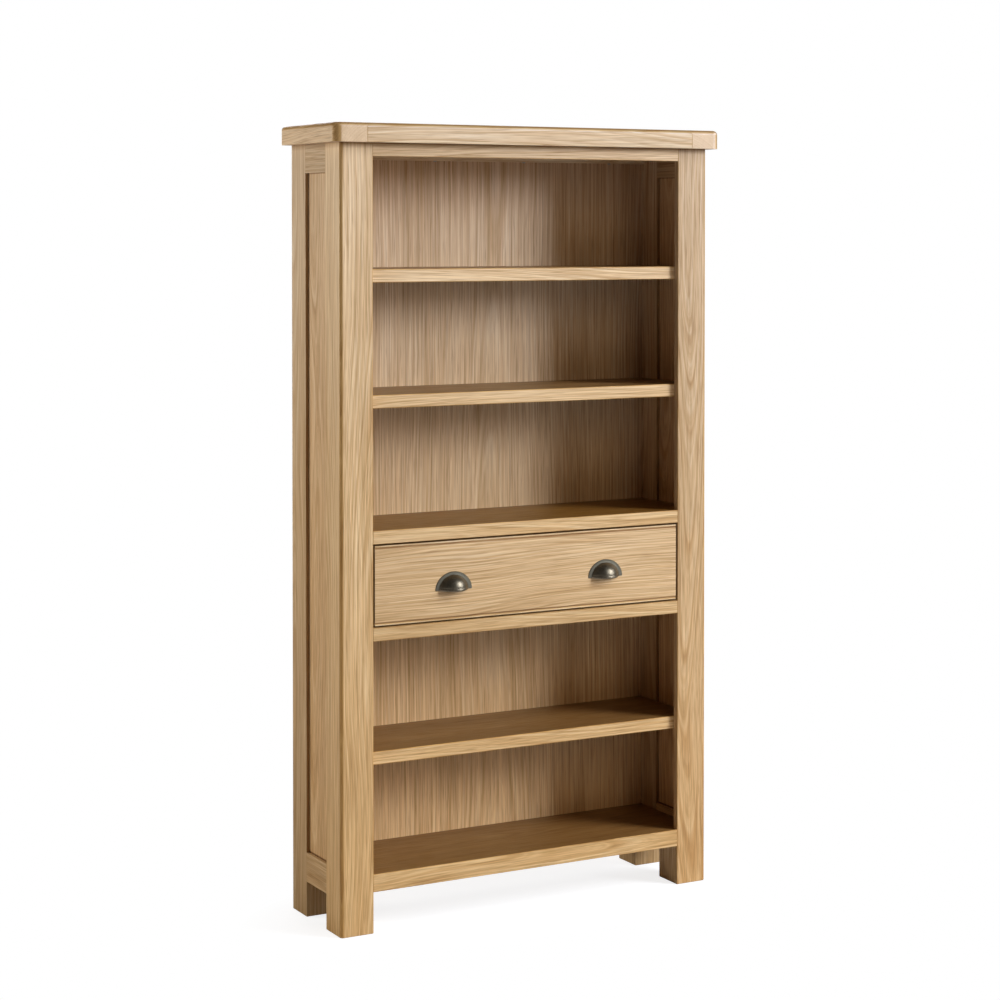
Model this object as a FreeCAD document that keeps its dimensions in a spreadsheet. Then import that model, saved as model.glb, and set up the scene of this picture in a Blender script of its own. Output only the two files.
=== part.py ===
import FreeCAD, Part
import os
import Sketcher

# Tall oak bookcase with one drawer: four posts on square feet, framed sides with thin panels, three
# loose shelves on pins, a drawer with two cup pulls, and a top with breadboard ends.
# X runs along the width, Y from front to back and Z up. The origin is on the floor under the middle
# of the top board. All lengths are in millimetres.

SIZES = {
    # Whole piece
    "overall_height": 1800,
    "carcass_width": 962,
    "carcass_depth": 264,
    # Top board
    "top_thickness": 43,
    "top_side_overhang": 24,
    "top_front_overhang": 24,
    "top_end_width": 80,
    "top_corner_radius": 20,
    "top_arris_radius": 10,
    "top_joint_radius": 0.8,
    "tongue_thickness": 14,
    "tongue_length": 20,
    "tongue_stop": 30,
    # Posts and feet
    "post_width": 80,
    "post_depth": 78,
    "face_board_thickness": 15,
    "side_board_thickness": 20,
    "post_corner_radius": 8,
    "post_arris_radius": 2,
    "foot_edge_radius": 1.5,
    # Side frames
    "side_top_rail_height": 65,
    "side_bottom_rail_height": 66,
    "side_rail_floor_gap": 81,
    "side_panel_thickness": 5,
    "panel_groove_depth": 7,
    "side_tenon_thickness": 8,
    "side_tenon_length": 20,
    "side_tenon_shoulder": 8,
    # Rails across the front and back
    "bottom_rail_floor_gap": 92,
    "bottom_rail_height": 40,
    "top_rail_height": 30,
    "drawer_rail_height": 30,
    "back_rail_thickness": 18,
    "rail_tenon_thickness": 6,
    "rail_tenon_length": 18,
    "rail_tenon_shoulder": 4,
    "rail_arris_radius": 1.2,
    # Fixed boards and loose shelves
    "board_thickness": 22,
    "board_housing_depth": 6,
    "shelf_thickness": 30,
    "shelf_arris_radius": 2,
    "lower_shelf_top": 402,
    "middle_shelf_top": 1197,
    "upper_shelf_top": 1477,
    "pin_radius": 2.5,
    "pin_hole_depth": 10,
    "pin_reach": 9,
    "pin_edge_distance": 36,
    # Back panel
    "back_panel_thickness": 5,
    "back_panel_inset": 2,
    "back_rebate_width": 6,
    "back_screw_radius": 1.6,
    "back_screw_length": 18,
    "back_screw_head_radius": 3.4,
    "back_screw_head_height": 1.6,
    "back_screw_spacing": 215,
    # Battens that hold the top
    "batten_width": 18,
    "batten_height": 22,
    "top_screw_radius": 2,
    "top_screw_length": 40,
    "top_screw_head_radius": 4,
    "top_screw_head_height": 2.5,
    "front_screw_spacing": 240,
    "end_screw_spacing": 130,
    # Drawer
    "drawer_floor_height": 681,
    "drawer_opening_height": 186,
    "drawer_gap": 3,
    "drawer_front_inset": 1,
    "drawer_front_thickness": 20,
    "bead_width": 5,
    "quirk_width": 3.5,
    "quirk_depth": 2,
    "bead_radius": 1.9,
    "drawer_side_thickness": 12,
    "drawer_side_height": 140,
    "drawer_side_housing": 8,
    "drawer_back_thickness": 12,
    "drawer_box_depth": 200,
    "drawer_bottom_thickness": 6,
    "drawer_bottom_rise": 8,
    "drawer_bottom_groove": 6,
    "runner_width": 20,
    "runner_height": 12,
    "guide_height": 40,
    # Cup pulls
    "pull_spacing": 400,
    "pull_rise": 70,
    "pull_dome_half_width": 41.5,
    "pull_dome_height": 35,
    "pull_projection": 21,
    "pull_lip_drop": 4,
    "pull_wall": 2,
    "pull_flange_width": 4,
    "pull_flange_thickness": 1.6,
    "pull_screw_spacing": 64,
    "pull_screw_rise": 10,
    "pull_boss_radius": 4,
    "pull_screw_radius": 2,
    "pull_screw_grip": 5,
    "pull_screw_head_radius": 3.9,
    "pull_screw_head_height": 2.6,
    # Fits
    "joint_clearance": 0.1,
    "shelf_clearance": 0.8,
    "pin_clearance": 0.05,
    "screw_clearance": 0.1,
    "drawer_side_clearance": 1,
    "slide_clearance": 0.4,
    "stop_clearance": 0.4,
}

SIDES = {"left": -1, "right": 1}

doc = FreeCAD.newDocument("bookcase")
sheet = doc.addObject("Spreadsheet::Sheet", "Sizes")
for row, (alias, length) in enumerate(SIZES.items(), start=1):
    sheet.set(f"A{row}", alias.replace("_", " "))
    sheet.set(f"B{row}", str(length))
    sheet.setAlias(f"B{row}", alias)
doc.recompute()


def size(alias):
    """The expression that reads one size from the sheet."""
    return f"Sizes.{alias}"


def total(*terms):
    """The expression of a sum."""
    return "(" + " + ".join(str(term) for term in terms) + ")"


def less(first, *terms):
    """The expression of a difference."""
    return "(" + " - ".join(str(term) for term in (first, *terms)) + ")"


def half(term):
    """The expression of half a length."""
    return f"({term} / 2)"


def twice(term):
    """The expression of twice a length."""
    return f"(2 * {term})"


# Places that several pieces share
JOINT = size("joint_clearance")
HALF_WIDTH = half(size("carcass_width"))
FRONT = half(less(size("top_front_overhang"), size("carcass_depth")))
REAR = total(FRONT, size("carcass_depth"))
FACE_BACK = total(FRONT, size("face_board_thickness"))
BACK_PANEL_FACE = less(REAR, size("back_panel_inset"), size("back_panel_thickness"))
BOARD_DEPTH = less(BACK_PANEL_FACE, FACE_BACK)
FRONT_POST_BACK = total(FRONT, size("post_depth"))
REAR_POST_FRONT = less(REAR, size("post_depth"))
SIDE_INNER = less(HALF_WIDTH, size("side_board_thickness"))
OPENING_HALF = less(HALF_WIDTH, size("post_width"))
POST_TOP = less(size("overall_height"), size("top_thickness"))
BOTTOM_BOARD_TOP = total(size("bottom_rail_floor_gap"), size("bottom_rail_height"))
FOOT_SHOULDER = less(BOTTOM_BOARD_TOP, size("board_thickness"))
DRAWER_CEILING = total(size("drawer_floor_height"), size("drawer_opening_height"))
DRAWER_BOARD_TOP = total(DRAWER_CEILING, size("drawer_rail_height"))
SIDE_RAIL_TOP = total(size("side_rail_floor_gap"), size("side_bottom_rail_height"))
SIDE_TOP_RAIL_BOTTOM = less(POST_TOP, size("side_top_rail_height"))
PANEL_OFFSET = half(less(size("side_board_thickness"), size("side_panel_thickness")))
DRAWER_HALF = less(OPENING_HALF, size("drawer_gap"))
DRAWER_FACE = total(FRONT, size("drawer_front_inset"))
DRAWER_FRONT_BACK = total(DRAWER_FACE, size("drawer_front_thickness"))
DRAWER_FRONT_BOTTOM = total(size("drawer_floor_height"), size("drawer_gap"))
DRAWER_FRONT_HEIGHT = less(size("drawer_opening_height"), twice(size("drawer_gap")))
DRAWER_SIDE_BOTTOM = total(size("drawer_floor_height"), size("runner_height"), size("slide_clearance"))
DRAWER_SIDE_TOP = total(DRAWER_SIDE_BOTTOM, size("drawer_side_height"))
DRAWER_INNER_HALF = less(DRAWER_HALF, size("drawer_side_thickness"))
DRAWER_BOTTOM_PLACE = total(DRAWER_SIDE_BOTTOM, size("drawer_bottom_rise"))
GUIDE_FACE = total(DRAWER_HALF, size("drawer_side_clearance"))
SHELF_TOPS = {name: size(f"{name}_shelf_top") for name in ("lower", "middle", "upper")}
FRONT_PIN_PLACE = total(FACE_BACK, size("pin_edge_distance"))
REAR_PIN_PLACE = less(BACK_PANEL_FACE, size("pin_edge_distance"))

# Each level of rails across the front: its top and its height
FRONT_RAILS = {
    "front_top_rail": (POST_TOP, size("top_rail_height")),
    "drawer_top_rail": (DRAWER_BOARD_TOP, size("drawer_rail_height")),
    "drawer_bottom_rail": (size("drawer_floor_height"), size("drawer_rail_height")),
    "bottom_front_rail": (BOTTOM_BOARD_TOP, size("bottom_rail_height")),
}

# How an origin plane's own axes lie in the body: the body axis of its x, of its y and of its normal
PLANES = {"XY_Plane": "xyz", "XZ_Plane": "xzy", "YZ_Plane": "yzx"}

subparts = []


def place(thing, x, y, z):
    """Binds the place of an object to three expressions."""
    for axis, term in zip("xyz", (x, y, z)):
        thing.setExpression(f"Placement.Base.{axis}", str(term))


def new_body(label, x, y, z):
    """A body with its low corner at a place in the bookcase."""
    body = doc.addObject("PartDesign::Body", label)
    body.Label = label
    place(body, x, y, z)
    subparts.append(body)
    return body


def new_sketch(body, role, corner):
    """A sketch parallel to an origin plane of its body, with its own origin at a corner."""
    plane = next(item for item in body.Origin.OriginFeatures if item.Role == role)
    sketch = body.newObject("Sketcher::SketchObject", body.Name + "_sketch")
    sketch.AttachmentSupport = [(plane, "")]
    sketch.MapMode = "FlatFace"
    first, second, normal = (str(corner["xyz".index(axis)]) for axis in PLANES[role])
    sketch.setExpression("AttachmentOffset.Base.x", first)
    sketch.setExpression("AttachmentOffset.Base.y", second)
    sketch.setExpression("AttachmentOffset.Base.z", f"-({normal})" if role == "XZ_Plane" else normal)
    return sketch


def rectangle(sketch, across, up):
    """A rectangle from the sketch's origin, its two sides bound to expressions."""
    points = [FreeCAD.Vector(x, y) for x, y in ((0, 0), (10, 0), (10, 10), (0, 10))]
    for start, end in zip(points, points[1:] + points[:1]):
        sketch.addGeometry(Part.LineSegment(start, end))
    for line in range(4):
        sketch.addConstraint(Sketcher.Constraint("Coincident", line, 2, (line + 1) % 4, 1))
        sketch.addConstraint(Sketcher.Constraint("Vertical" if line % 2 else "Horizontal", line))
    sketch.addConstraint(Sketcher.Constraint("Coincident", 0, 1, -1, 1))
    for name, direction, line, term in (("across", "DistanceX", 0, across), ("up", "DistanceY", 1, up)):
        index = sketch.addConstraint(Sketcher.Constraint(direction, line, 1, line, 2, 10))
        sketch.renameConstraint(index, name)
        sketch.setExpression(f"Constraints.{name}", str(term))


def add_block(body, corner, extent):
    """Adds a block with its low corner and its size in the body's own frame."""
    sketch = new_sketch(body, "XY_Plane", corner)
    rectangle(sketch, extent[0], extent[1])
    pad = body.newObject("PartDesign::Pad", body.Name + "_block")
    pad.Profile = sketch
    pad.setExpression("Length", str(extent[2]))
    doc.recompute()
    return pad


def cut_block(body, corner, extent):
    """Cuts a block, given as add_block takes it, upwards from its low face."""
    sketch = new_sketch(body, "XY_Plane", corner)
    rectangle(sketch, extent[0], extent[1])
    pocket = body.newObject("PartDesign::Pocket", body.Name + "_cut")
    pocket.Profile = sketch
    pocket.Reversed = True
    pocket.setExpression("Length", str(extent[2]))
    doc.recompute()
    return pocket


def drill(body, role, centre, radius, depth, forward):
    """Drills a round hole square to an origin plane, towards that body axis or against it."""
    sketch = new_sketch(body, role, centre)
    sketch.addGeometry(Part.Circle(FreeCAD.Vector(0, 0), FreeCAD.Vector(0, 0, 1), 1))
    sketch.addConstraint(Sketcher.Constraint("Coincident", 0, 3, -1, 1))
    index = sketch.addConstraint(Sketcher.Constraint("Radius", 0, 1))
    sketch.renameConstraint(index, "radius")
    sketch.setExpression("Constraints.radius", str(radius))
    pocket = body.newObject("PartDesign::Pocket", body.Name + "_hole")
    pocket.Profile = sketch
    pocket.Reversed = forward != (role == "XZ_Plane")
    pocket.setExpression("Length", str(depth))
    doc.recompute()
    return pocket


def edge_names(feature, test):
    """The names of the edges of a feature that pass a test of the edge and its middle."""
    names = []
    for number, edge in enumerate(feature.Shape.Edges, start=1):
        middle = edge.valueAt((edge.FirstParameter + edge.LastParameter) / 2)
        if test(edge, middle):
            names.append(f"Edge{number}")
    return names


def round_edges(body, radius, test):
    """Rounds the edges that pass a test."""
    base = body.Tip
    fillet = body.newObject("PartDesign::Fillet", body.Name + "_round")
    fillet.Base = (base, edge_names(base, test))
    fillet.setExpression("Radius", str(radius))
    doc.recompute()
    return fillet


def runs_along(edge, axis):
    """Whether an edge is a straight line along the body's axis with that number."""
    if edge.Curve.TypeId != "Part::GeomLine":
        return False
    return abs(abs(edge.Curve.Direction[axis]) - 1) < 1e-6


def near(first, second):
    """Whether two lengths are the same."""
    return abs(first - second) < 1e-4


def value(expression):
    """The number that an expression gives with the sizes in the sheet."""
    return float(sheet.evalExpression(str(expression)))


def from_outside(side, offset, width):
    """Where something starts, in a post's own frame, that lies so far in from the outer face."""
    if side < 0:
        return offset
    return less(size("post_width"), offset, width)


def side_place(side, offset, width):
    """Where something starts along X that lies so far in from the carcass's outer side."""
    if side < 0:
        return less(offset, HALF_WIDTH)
    return less(HALF_WIDTH, offset, width)


def make_post(end, name, side):
    """A post: a square foot with a thin face board and side board above it, and its joints."""
    at_front = end == "front"
    place_y = FRONT if at_front else REAR_POST_FRONT
    body = new_body(f"{end}_post_{name}", side_place(side, 0, size("post_width")), place_y, 0)
    add_block(body, (0, 0, 0), (size("post_width"), size("post_depth"), POST_TOP))
    # Rebate above the foot
    hollow_width = less(size("post_width"), size("side_board_thickness"))
    hollow_start = size("face_board_thickness") if at_front else 0
    cut_block(
        body,
        (from_outside(side, size("side_board_thickness"), hollow_width), hollow_start, FOOT_SHOULDER),
        (hollow_width, less(size("post_depth"), hollow_start), less(POST_TOP, FOOT_SHOULDER)),
    )
    # Mortises and panel groove in the edge that meets the side frame
    mortise_depth = total(size("side_tenon_length"), JOINT)
    frame_edge = less(size("post_depth"), mortise_depth) if at_front else 0
    tenon = total(size("side_tenon_thickness"), twice(JOINT))
    tenon_offset = half(less(size("side_board_thickness"), tenon))
    rails = (
        (size("side_rail_floor_gap"), size("side_bottom_rail_height")),
        (SIDE_TOP_RAIL_BOTTOM, size("side_top_rail_height")),
    )
    for rail_bottom, rail_height in rails:
        tenon_height = less(rail_height, twice(size("side_tenon_shoulder")))
        cut_block(
            body,
            (
                from_outside(side, tenon_offset, tenon),
                frame_edge,
                less(total(rail_bottom, size("side_tenon_shoulder")), JOINT),
            ),
            (tenon, mortise_depth, total(tenon_height, twice(JOINT))),
        )
    groove = total(size("side_panel_thickness"), twice(JOINT))
    groove_start = less(size("post_depth"), size("panel_groove_depth")) if at_front else 0
    cut_block(
        body,
        (
            from_outside(side, less(PANEL_OFFSET, JOINT), groove),
            groove_start,
            less(SIDE_RAIL_TOP, size("panel_groove_depth")),
        ),
        (
            groove,
            size("panel_groove_depth"),
            total(less(SIDE_TOP_RAIL_BOTTOM, SIDE_RAIL_TOP), twice(size("panel_groove_depth"))),
        ),
    )
    # Housings for the two boards of the drawer bay
    housing_start = size("face_board_thickness") if at_front else 0
    housing_length = less(size("post_depth"), housing_start)
    if not at_front:
        housing_length = less(BACK_PANEL_FACE, REAR_POST_FRONT)
    for board_top in (size("drawer_floor_height"), DRAWER_BOARD_TOP):
        cut_block(
            body,
            (
                from_outside(
                    side,
                    less(size("side_board_thickness"), size("board_housing_depth")),
                    size("board_housing_depth"),
                ),
                housing_start,
                less(board_top, size("board_thickness"), JOINT),
            ),
            (size("board_housing_depth"), housing_length, total(size("board_thickness"), twice(JOINT))),
        )
    if at_front:
        front_post_joints(body, side)
    else:
        rear_post_joints(body, side)
    # Holes for the shelf pins
    pin_y = less(FRONT_PIN_PLACE if at_front else REAR_PIN_PLACE, place_y)
    inner_face = from_outside(side, size("side_board_thickness"), 0)
    for shelf_top in SHELF_TOPS.values():
        pin_z = less(shelf_top, size("shelf_thickness"), size("pin_radius"), size("pin_clearance"))
        drill(
            body,
            "YZ_Plane",
            (inner_face, pin_y, pin_z),
            total(size("pin_radius"), size("pin_clearance")),
            size("pin_hole_depth"),
            side > 0,
        )
    round_post(body, at_front, side)


def front_post_joints(body, side):
    """Mortises in the face board for the rails across the front."""
    depth = total(size("rail_tenon_length"), JOINT)
    thickness = total(size("rail_tenon_thickness"), twice(JOINT))
    for rail_top, rail_height in FRONT_RAILS.values():
        height = total(less(rail_height, twice(size("rail_tenon_shoulder"))), twice(JOINT))
        cut_block(
            body,
            (
                from_outside(side, less(size("post_width"), depth), depth),
                half(less(size("face_board_thickness"), thickness)),
                total(less(rail_top, size("rail_tenon_shoulder"), height), JOINT),
            ),
            (depth, thickness, height),
        )


def rear_post_joints(body, side):
    """Rebate for the back panel."""
    depth = total(size("back_panel_thickness"), size("back_panel_inset"))
    cut_block(
        body,
        (
            from_outside(
                side,
                less(size("side_board_thickness"), size("back_rebate_width")),
                size("back_rebate_width"),
            ),
            less(size("post_depth"), depth),
            FOOT_SHOULDER,
        ),
        (size("back_rebate_width"), depth, less(POST_TOP, FOOT_SHOULDER)),
    )


def round_post(body, at_front, side):
    """Rounds the post's upright corners and the edges that stand on the floor."""
    width = SIZES["post_width"]
    depth = SIZES["post_depth"]
    outer = 0 if side < 0 else width
    inner = width - outer
    front = 0 if at_front else depth

    def outer_corner(edge, middle):
        return runs_along(edge, 2) and near(middle.x, outer) and near(middle.y, front)

    def inner_corner(edge, middle):
        return runs_along(edge, 2) and near(middle.x, inner) and near(middle.y, front)

    def floor_edge(edge, middle):
        return near(edge.BoundBox.ZMax, 0)

    round_edges(body, size("post_corner_radius" if at_front else "post_arris_radius"), outer_corner)
    round_edges(body, size("post_arris_radius"), inner_corner)
    round_edges(body, size("foot_edge_radius"), floor_edge)


def make_side_rail(label, side, bottom, height, groove_on_top):
    """A rail of a side frame, with a tenon at each end and a groove for the panel."""
    tenon = size("side_tenon_length")
    length = less(REAR_POST_FRONT, FRONT_POST_BACK)
    body = new_body(
        label,
        side_place(side, 0, size("side_board_thickness")),
        less(FRONT_POST_BACK, tenon),
        bottom,
    )
    tenon_offset = half(less(size("side_board_thickness"), size("side_tenon_thickness")))
    add_block(body, (0, tenon, 0), (size("side_board_thickness"), length, height))
    add_block(
        body,
        (tenon_offset, 0, size("side_tenon_shoulder")),
        (
            size("side_tenon_thickness"),
            total(length, twice(tenon)),
            less(height, twice(size("side_tenon_shoulder"))),
        ),
    )
    groove = total(size("side_panel_thickness"), twice(JOINT))
    groove_bottom = less(height, size("panel_groove_depth")) if groove_on_top else 0
    cut_block(
        body,
        (less(PANEL_OFFSET, JOINT), tenon, groove_bottom),
        (groove, length, size("panel_groove_depth")),
    )


def make_side_panel(name, side):
    """The thin panel that floats in the grooves of a side frame."""
    reach = less(size("panel_groove_depth"), JOINT)
    body = new_body(
        f"side_panel_{name}",
        side_place(side, PANEL_OFFSET, size("side_panel_thickness")),
        less(FRONT_POST_BACK, reach),
        less(SIDE_RAIL_TOP, reach),
    )
    add_block(
        body,
        (0, 0, 0),
        (
            size("side_panel_thickness"),
            total(less(REAR_POST_FRONT, FRONT_POST_BACK), twice(reach)),
            total(less(SIDE_TOP_RAIL_BOTTOM, SIDE_RAIL_TOP), twice(reach)),
        ),
    )


def make_front_rail(label, top, height):
    """A rail across the front, flush with the posts and tenoned into them."""
    tenon = size("rail_tenon_length")
    length = twice(OPENING_HALF)
    body = new_body(label, less(0, OPENING_HALF, tenon), FRONT, less(top, height))
    tenon_offset = half(less(size("face_board_thickness"), size("rail_tenon_thickness")))
    add_block(body, (tenon, 0, 0), (length, size("face_board_thickness"), height))
    add_block(
        body,
        (0, tenon_offset, size("rail_tenon_shoulder")),
        (
            total(length, twice(tenon)),
            size("rail_tenon_thickness"),
            less(height, twice(size("rail_tenon_shoulder"))),
        ),
    )

    def front_edge(edge, middle):
        return runs_along(edge, 0) and near(middle.y, 0)

    round_edges(body, size("rail_arris_radius"), front_edge)


def make_boards():
    """The fixed boards behind the rails, and the rail under the back of the lowest one."""
    half_length = less(SIDE_INNER, JOINT)
    body = new_body("bottom_board", less(0, half_length), FACE_BACK, FOOT_SHOULDER)
    add_block(body, (0, 0, 0), (twice(half_length), BOARD_DEPTH, size("board_thickness")))
    drill_for_back_screws(body, half_length, FOOT_SHOULDER, BOARD_DEPTH)
    body = new_body(
        "bottom_back_rail",
        less(0, OPENING_HALF),
        less(BACK_PANEL_FACE, size("back_rail_thickness")),
        size("bottom_rail_floor_gap"),
    )
    rail_height = less(FOOT_SHOULDER, size("bottom_rail_floor_gap"))
    add_block(body, (0, 0, 0), (twice(OPENING_HALF), size("back_rail_thickness"), rail_height))
    half_length = less(total(SIDE_INNER, size("board_housing_depth")), JOINT)
    levels = {"drawer_bottom_board": size("drawer_floor_height"), "drawer_top_board": DRAWER_BOARD_TOP}
    for label, board_top in levels.items():
        board_bottom = less(board_top, size("board_thickness"))
        body = new_body(label, less(0, half_length), FACE_BACK, board_bottom)
        add_block(body, (0, 0, 0), (twice(half_length), BOARD_DEPTH, size("board_thickness")))
        drill_for_back_screws(body, half_length, board_bottom, BOARD_DEPTH)


def make_shelf(name, top):
    """A loose shelf behind the face boards, with a softened front edge."""
    half_length = less(SIDE_INNER, size("shelf_clearance"))
    body = new_body(
        f"shelf_{name}",
        less(0, half_length),
        total(FACE_BACK, size("shelf_clearance")),
        less(top, size("shelf_thickness")),
    )
    add_block(
        body,
        (0, 0, 0),
        (twice(half_length), less(BOARD_DEPTH, twice(size("shelf_clearance"))), size("shelf_thickness")),
    )

    def front_edge(edge, middle):
        return runs_along(edge, 0) and near(middle.y, 0)

    round_edges(body, size("shelf_arris_radius"), front_edge)


def make_back():
    """The back panel in its rebates and the rail behind the top."""
    half_width = less(total(SIDE_INNER, size("back_rebate_width")), JOINT)
    body = new_body("back_panel", less(0, half_width), BACK_PANEL_FACE, FOOT_SHOULDER)
    add_block(
        body,
        (0, 0, 0),
        (twice(half_width), size("back_panel_thickness"), less(POST_TOP, FOOT_SHOULDER)),
    )
    for x, z in back_screw_places():
        drill(
            body,
            "XZ_Plane",
            (total(x, half_width), 0, less(z, FOOT_SHOULDER)),
            total(size("back_screw_radius"), size("screw_clearance")),
            size("back_panel_thickness"),
            True,
        )
    rail_y = less(BACK_PANEL_FACE, size("back_rail_thickness"))
    rail_bottom = less(POST_TOP, size("top_rail_height"))
    body = new_body("top_back_rail", less(0, SIDE_INNER), rail_y, rail_bottom)
    add_block(
        body,
        (0, 0, 0),
        (twice(SIDE_INNER), size("back_rail_thickness"), size("top_rail_height")),
    )
    drill_for_back_screws(body, SIDE_INNER, rail_bottom, size("back_rail_thickness"))
    drill_through_for_top_screws(body, less(0, SIDE_INNER), rail_y, size("top_rail_height"))


def back_screw_rows():
    """The height of each row of screws through the back panel, by the piece that it bites into."""
    middle = half(size("board_thickness"))
    return {
        "bottom_board": less(BOTTOM_BOARD_TOP, middle),
        "drawer_bottom_board": less(size("drawer_floor_height"), middle),
        "drawer_top_board": less(DRAWER_BOARD_TOP, middle),
        "top_back_rail": less(POST_TOP, half(size("top_rail_height"))),
    }


def back_screw_columns():
    """The places along X of the screws in a row."""
    return [f"({step} * {size('back_screw_spacing')})" for step in (-1.5, -0.5, 0.5, 1.5)]


def back_screw_places():
    """The place along X and Z of every screw through the back panel."""
    return [(x, z) for z in back_screw_rows().values() for x in back_screw_columns()]


def drill_for_back_screws(body, half_length, bottom, depth):
    """Pilot holes in the back edge of a board or rail."""
    bite = total(less(size("back_screw_length"), size("back_panel_thickness")), JOINT)
    for x in back_screw_columns():
        drill(
            body,
            "XZ_Plane",
            (total(x, half_length), depth, less(back_screw_rows()[body.Label], bottom)),
            total(size("back_screw_radius"), size("screw_clearance")),
            bite,
            False,
        )


def make_top():
    """The top: a centre board between two end boards that run from front to back."""
    depth = total(size("carcass_depth"), size("top_front_overhang"))
    low_y = less(FRONT, size("top_front_overhang"))
    half_top = total(HALF_WIDTH, size("top_side_overhang"))
    half_centre = less(half_top, size("top_end_width"))
    tongue_rise = half(less(size("top_thickness"), size("tongue_thickness")))
    tongue = size("tongue_length")
    tongue_width = less(depth, twice(size("tongue_stop")))

    def front_top_edge(edge, middle):
        return runs_along(edge, 0) and near(middle.y, 0) and near(middle.z, SIZES["top_thickness"])

    body = new_body("top_centre_board", less(0, half_centre, tongue), low_y, POST_TOP)
    add_block(body, (tongue, 0, 0), (twice(half_centre), depth, size("top_thickness")))
    add_block(
        body,
        (0, size("tongue_stop"), tongue_rise),
        (total(twice(half_centre), twice(tongue)), tongue_width, size("tongue_thickness")),
    )
    drill_for_top_screws(body, total(half_centre, tongue), low_y, "centre")
    round_edges(body, size("top_arris_radius"), front_top_edge)
    soften_top_joint(body, (SIZES["tongue_length"], SIZES["tongue_length"] + value(twice(half_centre))))
    for name, side in SIDES.items():
        start = less(0, half_top) if side < 0 else half_centre
        body = new_body(f"top_end_{name}", start, low_y, POST_TOP)
        add_block(body, (0, 0, 0), (size("top_end_width"), depth, size("top_thickness")))
        groove_depth = total(tongue, JOINT)
        groove_start = less(size("top_end_width"), groove_depth) if side < 0 else 0
        cut_block(
            body,
            (groove_start, less(size("tongue_stop"), JOINT), less(tongue_rise, JOINT)),
            (
                groove_depth,
                total(tongue_width, twice(JOINT)),
                total(size("tongue_thickness"), twice(JOINT)),
            ),
        )
        drill_for_top_screws(body, less(0, start), low_y, name)
        round_top_end(body, side)


def round_top_end(body, side):
    """Rounds the outer front corner of an end board, then the edge of its upper face."""
    outer = 0 if side < 0 else SIZES["top_end_width"]
    thickness = SIZES["top_thickness"]
    inner = SIZES["top_end_width"] - outer
    depth = SIZES["carcass_depth"] + SIZES["top_front_overhang"]

    def front_corner(edge, middle):
        return runs_along(edge, 2) and near(middle.x, outer) and near(middle.y, 0)

    def upper_outer_edge(edge, middle):
        at_joint = near(middle.x, inner)
        at_back = near(middle.y, depth)
        return near(edge.BoundBox.ZMin, thickness) and not at_joint and not at_back

    round_edges(body, size("top_corner_radius"), front_corner)
    round_edges(body, size("top_arris_radius"), upper_outer_edge)
    soften_top_joint(body, (inner,))


def soften_top_joint(body, places):
    """Eases the front and upper edges of the faces where the boards of the top meet."""
    def joint_edge(edge, middle):
        on_face = edge.BoundBox.XLength < 1e-4 and any(near(middle.x, place) for place in places)
        on_front = near(middle.y, 0)
        on_upper = near(middle.z, SIZES["top_thickness"])
        on_arris = edge.Curve.TypeId == "Part::GeomCircle" and middle.y < SIZES["top_arris_radius"]
        return on_face and (on_front or on_upper or on_arris)

    round_edges(body, size("top_joint_radius"), joint_edge)


def top_screws():
    """The screws that hold the top: the piece each passes, the board it bites and its X and Y."""
    spacing = size("front_screw_spacing")
    columns = [f"({step} * {spacing})" for step in (-1.5, -0.5, 0.5, 1.5)]
    front_y = total(FACE_BACK, half(size("batten_width")))
    back_y = less(BACK_PANEL_FACE, half(size("back_rail_thickness")))
    screws = [("top_batten_front", "centre", x, front_y) for x in columns]
    screws += [("top_back_rail", "centre", x, back_y) for x in columns]
    middle_y = half(total(front_y, back_y))
    for name, side in SIDES.items():
        x = f"({side} * {less(SIDE_INNER, half(size('batten_width')))})"
        for step in (-0.5, 0.5):
            y = total(middle_y, f"({step} * {size('end_screw_spacing')})")
            screws.append((f"top_batten_{name}", name, x, y))
    return screws


def top_screw_seat(holder):
    """The height of the face that the head of a top screw bears on."""
    height = "top_rail_height" if holder == "top_back_rail" else "batten_height"
    return less(POST_TOP, size(height))


def drill_for_top_screws(body, shift_x, low_y, board):
    """Blind holes in the underside of a board of the top."""
    for holder, bitten, x, y in top_screws():
        if bitten != board:
            continue
        bite = less(size("top_screw_length"), less(POST_TOP, top_screw_seat(holder)))
        drill(
            body,
            "XY_Plane",
            (total(x, shift_x), less(y, low_y), 0),
            total(size("top_screw_radius"), size("screw_clearance")),
            total(bite, size("screw_clearance")),
            True,
        )


def drill_through_for_top_screws(body, place_x, place_y, height):
    """Clearance holes up through a batten or rail under the top."""
    for holder, _, x, y in top_screws():
        if holder != body.Label:
            continue
        drill(
            body,
            "XY_Plane",
            (less(x, place_x), less(y, place_y), 0),
            total(size("top_screw_radius"), size("screw_clearance")),
            height,
            True,
        )


def make_battens():
    """The battens under the top, in front and along both sides."""
    width = size("batten_width")
    height = size("batten_height")
    side_start = total(FACE_BACK, width)
    side_length = less(BACK_PANEL_FACE, size("back_rail_thickness"), side_start)
    shapes = {"front": (less(0, SIDE_INNER), FACE_BACK, twice(SIDE_INNER), width)}
    shapes["left"] = (less(0, SIDE_INNER), side_start, width, side_length)
    shapes["right"] = (less(SIDE_INNER, width), side_start, width, side_length)
    for name, (x, y, length, depth) in shapes.items():
        body = new_body(f"top_batten_{name}", x, y, less(POST_TOP, height))
        add_block(body, (0, 0, 0), (length, depth, height))
        drill_through_for_top_screws(body, x, y, height)


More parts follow.
